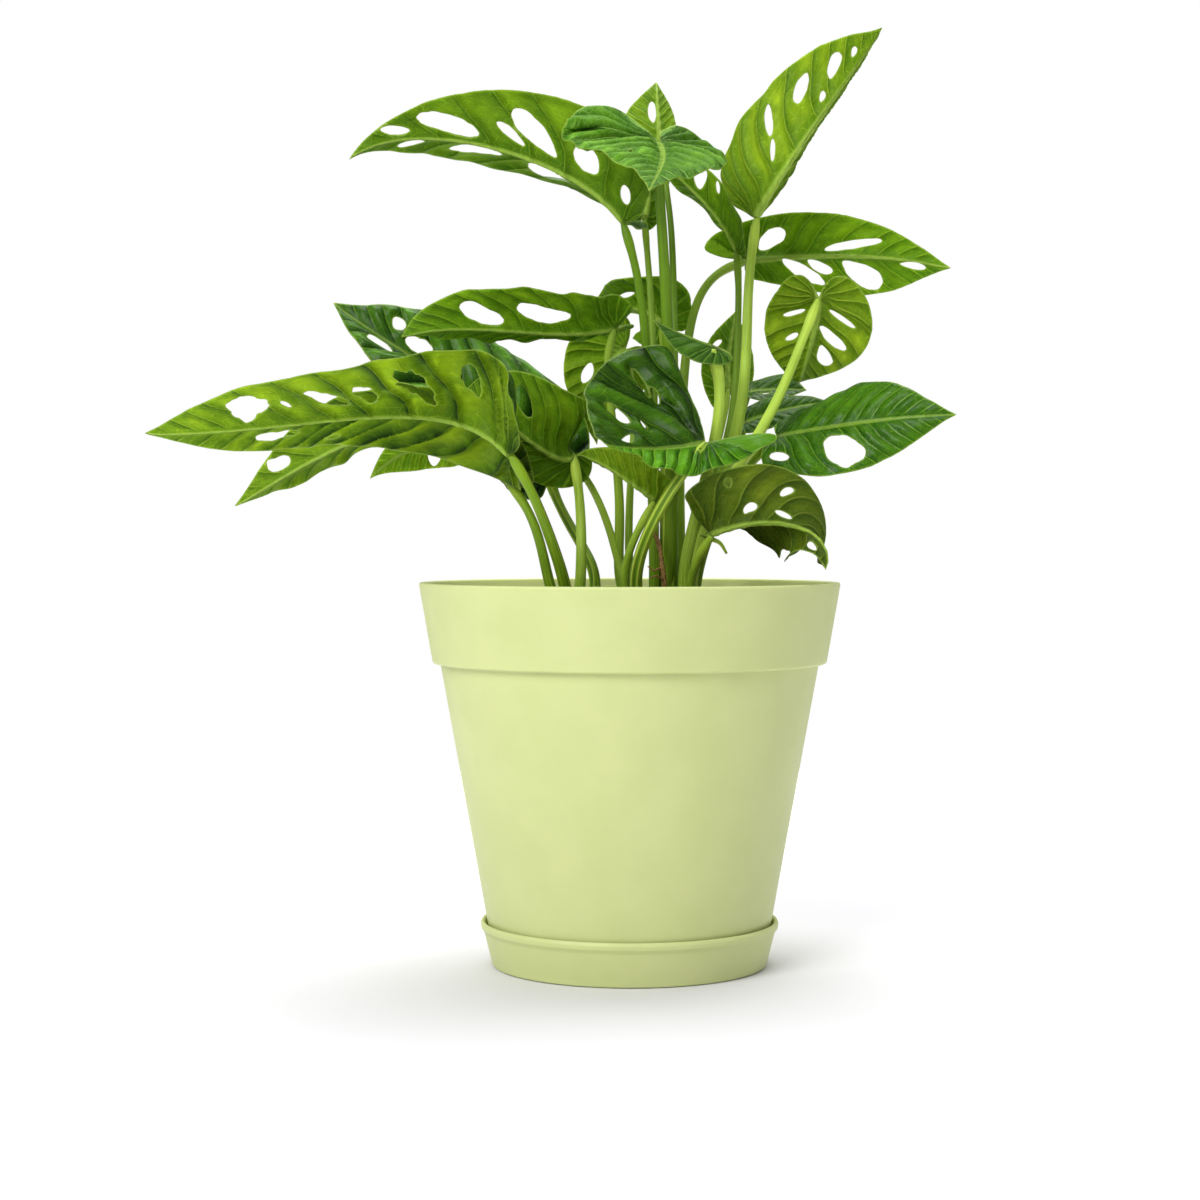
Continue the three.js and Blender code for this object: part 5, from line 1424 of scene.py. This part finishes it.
class POTTEDVINE_OT_soil(bpy.types.Operator):
    """Build the potting mix: a crumbly top over a plain plug, with bark and perlite on it"""

    bl_idname = "potted_vine.soil"
    bl_label = "Soil"
    bl_options = UNDO

    LEVEL = 124
    SIDES = 144
    RINGS = 52
    SEED = 11
    CHIP_SIDES = 6
    BARK, PERLITE = 1.0, 2.0  # what the material reads for each kind of chip, and 0 for the mix

    def execute(self, context):
        settings = context.scene.potted_vine_pot
        radius = hollow_radius(self.LEVEL) - 0.4
        profile = [
            (0, SOIL_FOOT), (hollow_radius(SOIL_FOOT) - 3.2, SOIL_FOOT), (hollow_radius(9) - 0.6, 9),
            (hollow_radius(COLLAR_BOTTOM) - 0.6, COLLAR_BOTTOM),
            *[(radius * (1 - (k / self.RINGS) ** 1.25), self.LEVEL) for k in range(self.RINGS)],
            (0, self.LEVEL),
        ]
        points, faces = lathe(profile, self.SIDES)
        top = points[:, 2] > self.LEVEL - 0.1
        x, y = points[top, 0], points[top, 1]
        swell = np.sin(x * 0.11 + 1) * np.cos(y * 0.13)
        lumps = np.sin(x * 0.37 + y * 0.21) * np.cos(y * 0.41 - x * 0.17 + 2)
        crumbs = swirl(points[top], 0.42, 3) * 0.9 + swirl(points[top], 1.1, 4) * 0.5
        points[top, 2] = self.LEVEL - 0.4 + 1.1 * (0.6 * swell + 0.5 * lumps) + crumbs
        surface = points[top]
        parts = [(points, faces, {"chip": np.zeros(len(points))})]
        draw = np.random.default_rng(self.SEED)
        for i in range(settings.chips):
            turn, far = draw.uniform(0, 2 * math.pi), radius * math.sqrt(draw.uniform(0.01, 0.88))
            place = np.array([far * math.cos(turn), far * math.sin(turn), 0])
            nearest = np.argmin(((surface[:, :2] - place[:2]) ** 2).sum(1))
            place[2] = surface[nearest, 2] + 0.1
            parts.append(self.chip(draw, place, bark=i % 3 != 0))
        new_piece("potting_mix", joined(parts), soil_material(settings), ["soil"])
        return {"FINISHED"}

    def chip(self, draw, place, bark):
        """A flake of bark or a grain of perlite, with its middle at place."""
        kind = self.BARK if bark else self.PERLITE
        size = draw.uniform(1.2, 3.4, 3) * ((1, 0.55, 0.35) if bark else (0.5, 0.5, 0.45))
        profile = [(0, -1), (0.75, -0.7), (1, 0), (0.7, 0.7), (0, 1)]
        body, faces = lathe(profile, self.CHIP_SIDES)
        body = body * size * (1 + draw.uniform(-0.16, 0.16, (len(body), 1)))
        turn, tilt = draw.uniform(0, 2 * math.pi), draw.uniform(-0.5, 0.5)
        c, s, ct, st = math.cos(turn), math.sin(turn), math.cos(tilt), math.sin(tilt)
        body = body @ np.array([[ct, 0, st], [0, 1, 0], [-st, 0, ct]])
        body = body @ np.array([[c, s, 0], [-s, c, 0], [0, 0, 1]])
        return body + place, faces, {"chip": np.full(len(body), kind)}


class POTTEDVINE_OT_stalks(bpy.types.Operator):
    """Build the stalks of each clump with the rootstock they rise from"""

    bl_idname = "potted_vine.stalks"
    bl_label = "Stalks"
    bl_options = UNDO

    # Heights of the rootstocks
    FOOT = 108
    SHOULDER = 127
    TOP = 127.5
    RINGS = 14
    SIDES = 24

    def execute(self, context):
        material = stalk_material(context.scene.potted_vine_plant)
        for clump, (x, y, radius) in CLUMPS.items():
            parts = [stalk_mesh(leaf, seed) for seed, leaf in enumerate(LEAVES) if leaf["clump"] == clump]
            bare = [(thick, path, seed) for seed, (name, thick, path) in enumerate(BARE_STEMS) if name == clump]
            parts += [stem_mesh(*stem) for stem in bare]
            parts.append(self.rootstock(x, y, radius))
            new_piece("stalks_" + clump, joined(parts), material, ["stems_" + clump])
        return {"FINISHED"}

    def rootstock(self, x, y, radius):
        """The plain dome that the stalks of a clump rise from."""
        rise = self.SHOULDER - self.FOOT
        shares = np.linspace(0, 1, self.RINGS)
        rings = [(radius * (0.6 + 0.4 * math.sin(2.4 * t + 0.4)), self.FOOT + rise * t) for t in shares]
        points, faces = lathe([(0, self.FOOT), *rings, (0, self.TOP)], self.SIDES)
        split = []
        for f in faces:
            split += [f] if len(f) == 3 else [(f[0], f[1], f[2]), (f[0], f[2], f[3])]
        points[:, :2] *= (0.94 + 0.06 * swirl(points, 0.16, 21))[:, None]
        return points + (x, y, 0), split, skin_of(np.zeros(len(points)), 2.0, 0.0, -1.0)


class POTTEDVINE_OT_root(bpy.types.Operator):
    """Build the dry aerial root"""

    bl_idname = "potted_vine.root"
    bl_label = "Aerial root"
    bl_options = UNDO

    PATH = ((8, -9, 155), (11, -9, 146), (14, -11, 120))
    ROOTLETS = (
        ((11.5, -9.3, 141.5), (8.6, -11.2, 140.3), (6.4, -12, 141.8)),
        ((12.2, -9.9, 136.5), (9.5, -11.5, 138.4), (7.2, -12.3, 137.4)),
    )

    def execute(self, context):
        line = even_spacing(smooth_through(self.PATH, 12), 0.9)
        radii = np.linspace(0.75, 1.05, len(line)) * (1 + 0.22 * swirl(line, 0.35, 8))
        line = line + np.stack([swirl(line, 0.12, 31), swirl(line, 0.12, 32), np.zeros(len(line))], -1) * 0.35
        points, faces, _ = self.bar(line, radii)
        points = points + unit(points - line[len(line) // 2]) * swirl(points, 1.1, 5)[:, None] * 0.12
        parts = [(points, faces, {})]
        for path in self.ROOTLETS:
            line = even_spacing(smooth_through(path, 8), 0.5)
            parts.append(self.bar(line, np.linspace(0.5, 0.2, len(line))))
        material = root_material(context.scene.potted_vine_plant)
        new_piece("aerial_root_cork", joined(parts), material, ["aerial_root"])
        return {"FINISHED"}

    def bar(self, line, radii):
        flat = np.full(len(line), 0.05)
        points, faces, _, _ = tube(line, radii, (0, -1, 0), flat, flat)
        return points, faces, {}


class POTTEDVINE_OT_blades(bpy.types.Operator):
    """Build the leaf blades with their windows, veins and quilting"""

    bl_idname = "potted_vine.blades"
    bl_label = "Leaf blades"
    bl_options = UNDO

    def execute(self, context):
        settings = context.scene.potted_vine_plant
        for seed, leaf in enumerate(LEAVES):
            blade, name = blade_mesh(leaf, seed, settings), leaf["name"]
            material = blade_material(leaf["tone"], settings)
            new_piece("blade_" + name, blade, material, ["leaf_" + name])
        return {"FINISHED"}


class POTTEDVINE_OT_stage(bpy.types.Operator):
    """Set the floor, the soft lights and the camera"""

    bl_idname = "potted_vine.stage"
    bl_label = "Stage"
    bl_options = UNDO

    # Places and targets in metres
    CAMERA = ((0, -0.854, 0.1546), (-0.0105, 0, 0.1296))
    SENSOR_WIDTH = 36
    LAMPS = (("key", (-0.68, -1.15, 0.98), 0.9), ("top", (0.05, 0.38, 1.42), 1.2))
    LAMP_TARGET = (0, 0, 0.16)
    FLOOR_SIDES = 96
    FLOOR_HEIGHT = -0.0002

    def execute(self, context):
        scene = context.scene
        settings = scene.potted_vine_stage
        self.floor(scene, settings)

        world = bpy.data.worlds.new("studio_surround")
        scene.world = world
        world.use_nodes = True
        world.node_tree.nodes.clear()
        g = Graph(world.node_tree)
        strength = g.maths("MAXIMUM", g.add("LightPath").outputs["Is Camera Ray"], settings.surround)
        surround = g.add("Background", {"Color": WHITE, "Strength": strength})
        g.feed(g.add("OutputWorld").inputs[0], surround.outputs[0])

        for name, place, size in self.LAMPS:
            light = bpy.data.lights.new(name, "AREA")
            light.shape, light.size, light.energy = "DISK", size, getattr(settings, name + "_power")
            self.aimed(scene, name, light, place, self.LAMP_TARGET)

        camera = bpy.data.cameras.new("camera")
        camera.lens, camera.sensor_width = settings.focal_length, self.SENSOR_WIDTH
        camera.dof.use_dof = False
        scene.camera = self.aimed(scene, "camera", camera, *self.CAMERA)
        scene.view_settings.view_transform = "Standard"
        return {"FINISHED"}

    def floor(self, scene, settings):
        """A round floor, grey near the pot and white away from it: painted light keeps the far floor as white as
        the backdrop.
        """
        mesh = bpy.data.meshes.new("floor")
        turns = np.arange(self.FLOOR_SIDES) * 2 * math.pi / self.FLOOR_SIDES
        edge = [(settings.floor_radius * math.cos(t), settings.floor_radius * math.sin(t), 0) for t in turns]
        mesh.from_pydata(edge, [], [tuple(range(self.FLOOR_SIDES))])
        material, g, shader = new_material("studio_floor", {"Roughness": 0.95, "Specular IOR Level": 0.0})
        away = g.vectors("LENGTH", g.place())["Value"]
        # Painted light: the floor turns white away from the pot; near it the colour is faintly blue against the
        # green light bounced from the pot
        colour = g.blend(g.soft(away, 0.14, 0.36), settings.floor_colour, WHITE)
        g.feed(shader.inputs["Base Color"], colour)
        mesh.materials.append(material)
        floor = bpy.data.objects.new("studio_floor", mesh)
        floor.location.z = self.FLOOR_HEIGHT
        scene.collection.objects.link(floor)

    def aimed(self, scene, name, data, place, target):
        """A lamp or camera at a place, turned to its target."""
        thing = bpy.data.objects.new(name, data)
        scene.collection.objects.link(thing)
        thing.location = place
        thing.rotation_euler = (Vector(target) - Vector(place)).to_track_quat("-Z", "Y").to_euler()
        return thing


OPERATORS = (
    POTTEDVINE_OT_saucer,
    POTTEDVINE_OT_pot,
    POTTEDVINE_OT_soil,
    POTTEDVINE_OT_stalks,
    POTTEDVINE_OT_root,
    POTTEDVINE_OT_blades,
    POTTEDVINE_OT_stage,
)


class POTTEDVINE_PT_panel(bpy.types.Panel):
    """The pieces and their settings"""

    bl_label = "Potted Vine"
    bl_idname = "POTTEDVINE_PT_panel"
    bl_space_type = "VIEW_3D"
    bl_region_type = "UI"
    bl_category = "Potted Vine"

    def draw(self, context):
        for operator in OPERATORS:
            self.layout.operator(operator.bl_idname)
        for name, kind in SETTINGS.items():
            box = self.layout.box()
            for key in kind.__annotations__:
                box.prop(getattr(context.scene, name), key)


CLASSES = (*SETTINGS.values(), *OPERATORS, POTTEDVINE_PT_panel)


def register():
    for kind in CLASSES:
        bpy.utils.register_class(kind)
    for name, kind in SETTINGS.items():
        setattr(bpy.types.Scene, name, PointerProperty(type=kind))


def unregister():
    for name in SETTINGS:
        delattr(bpy.types.Scene, name)
    for kind in reversed(CLASSES):
        bpy.utils.unregister_class(kind)


def main():
    register()
    for operator in OPERATORS:
        getattr(bpy.ops.potted_vine, operator.bl_idname.split(".")[1])()


if __name__ == "__main__":
    main()
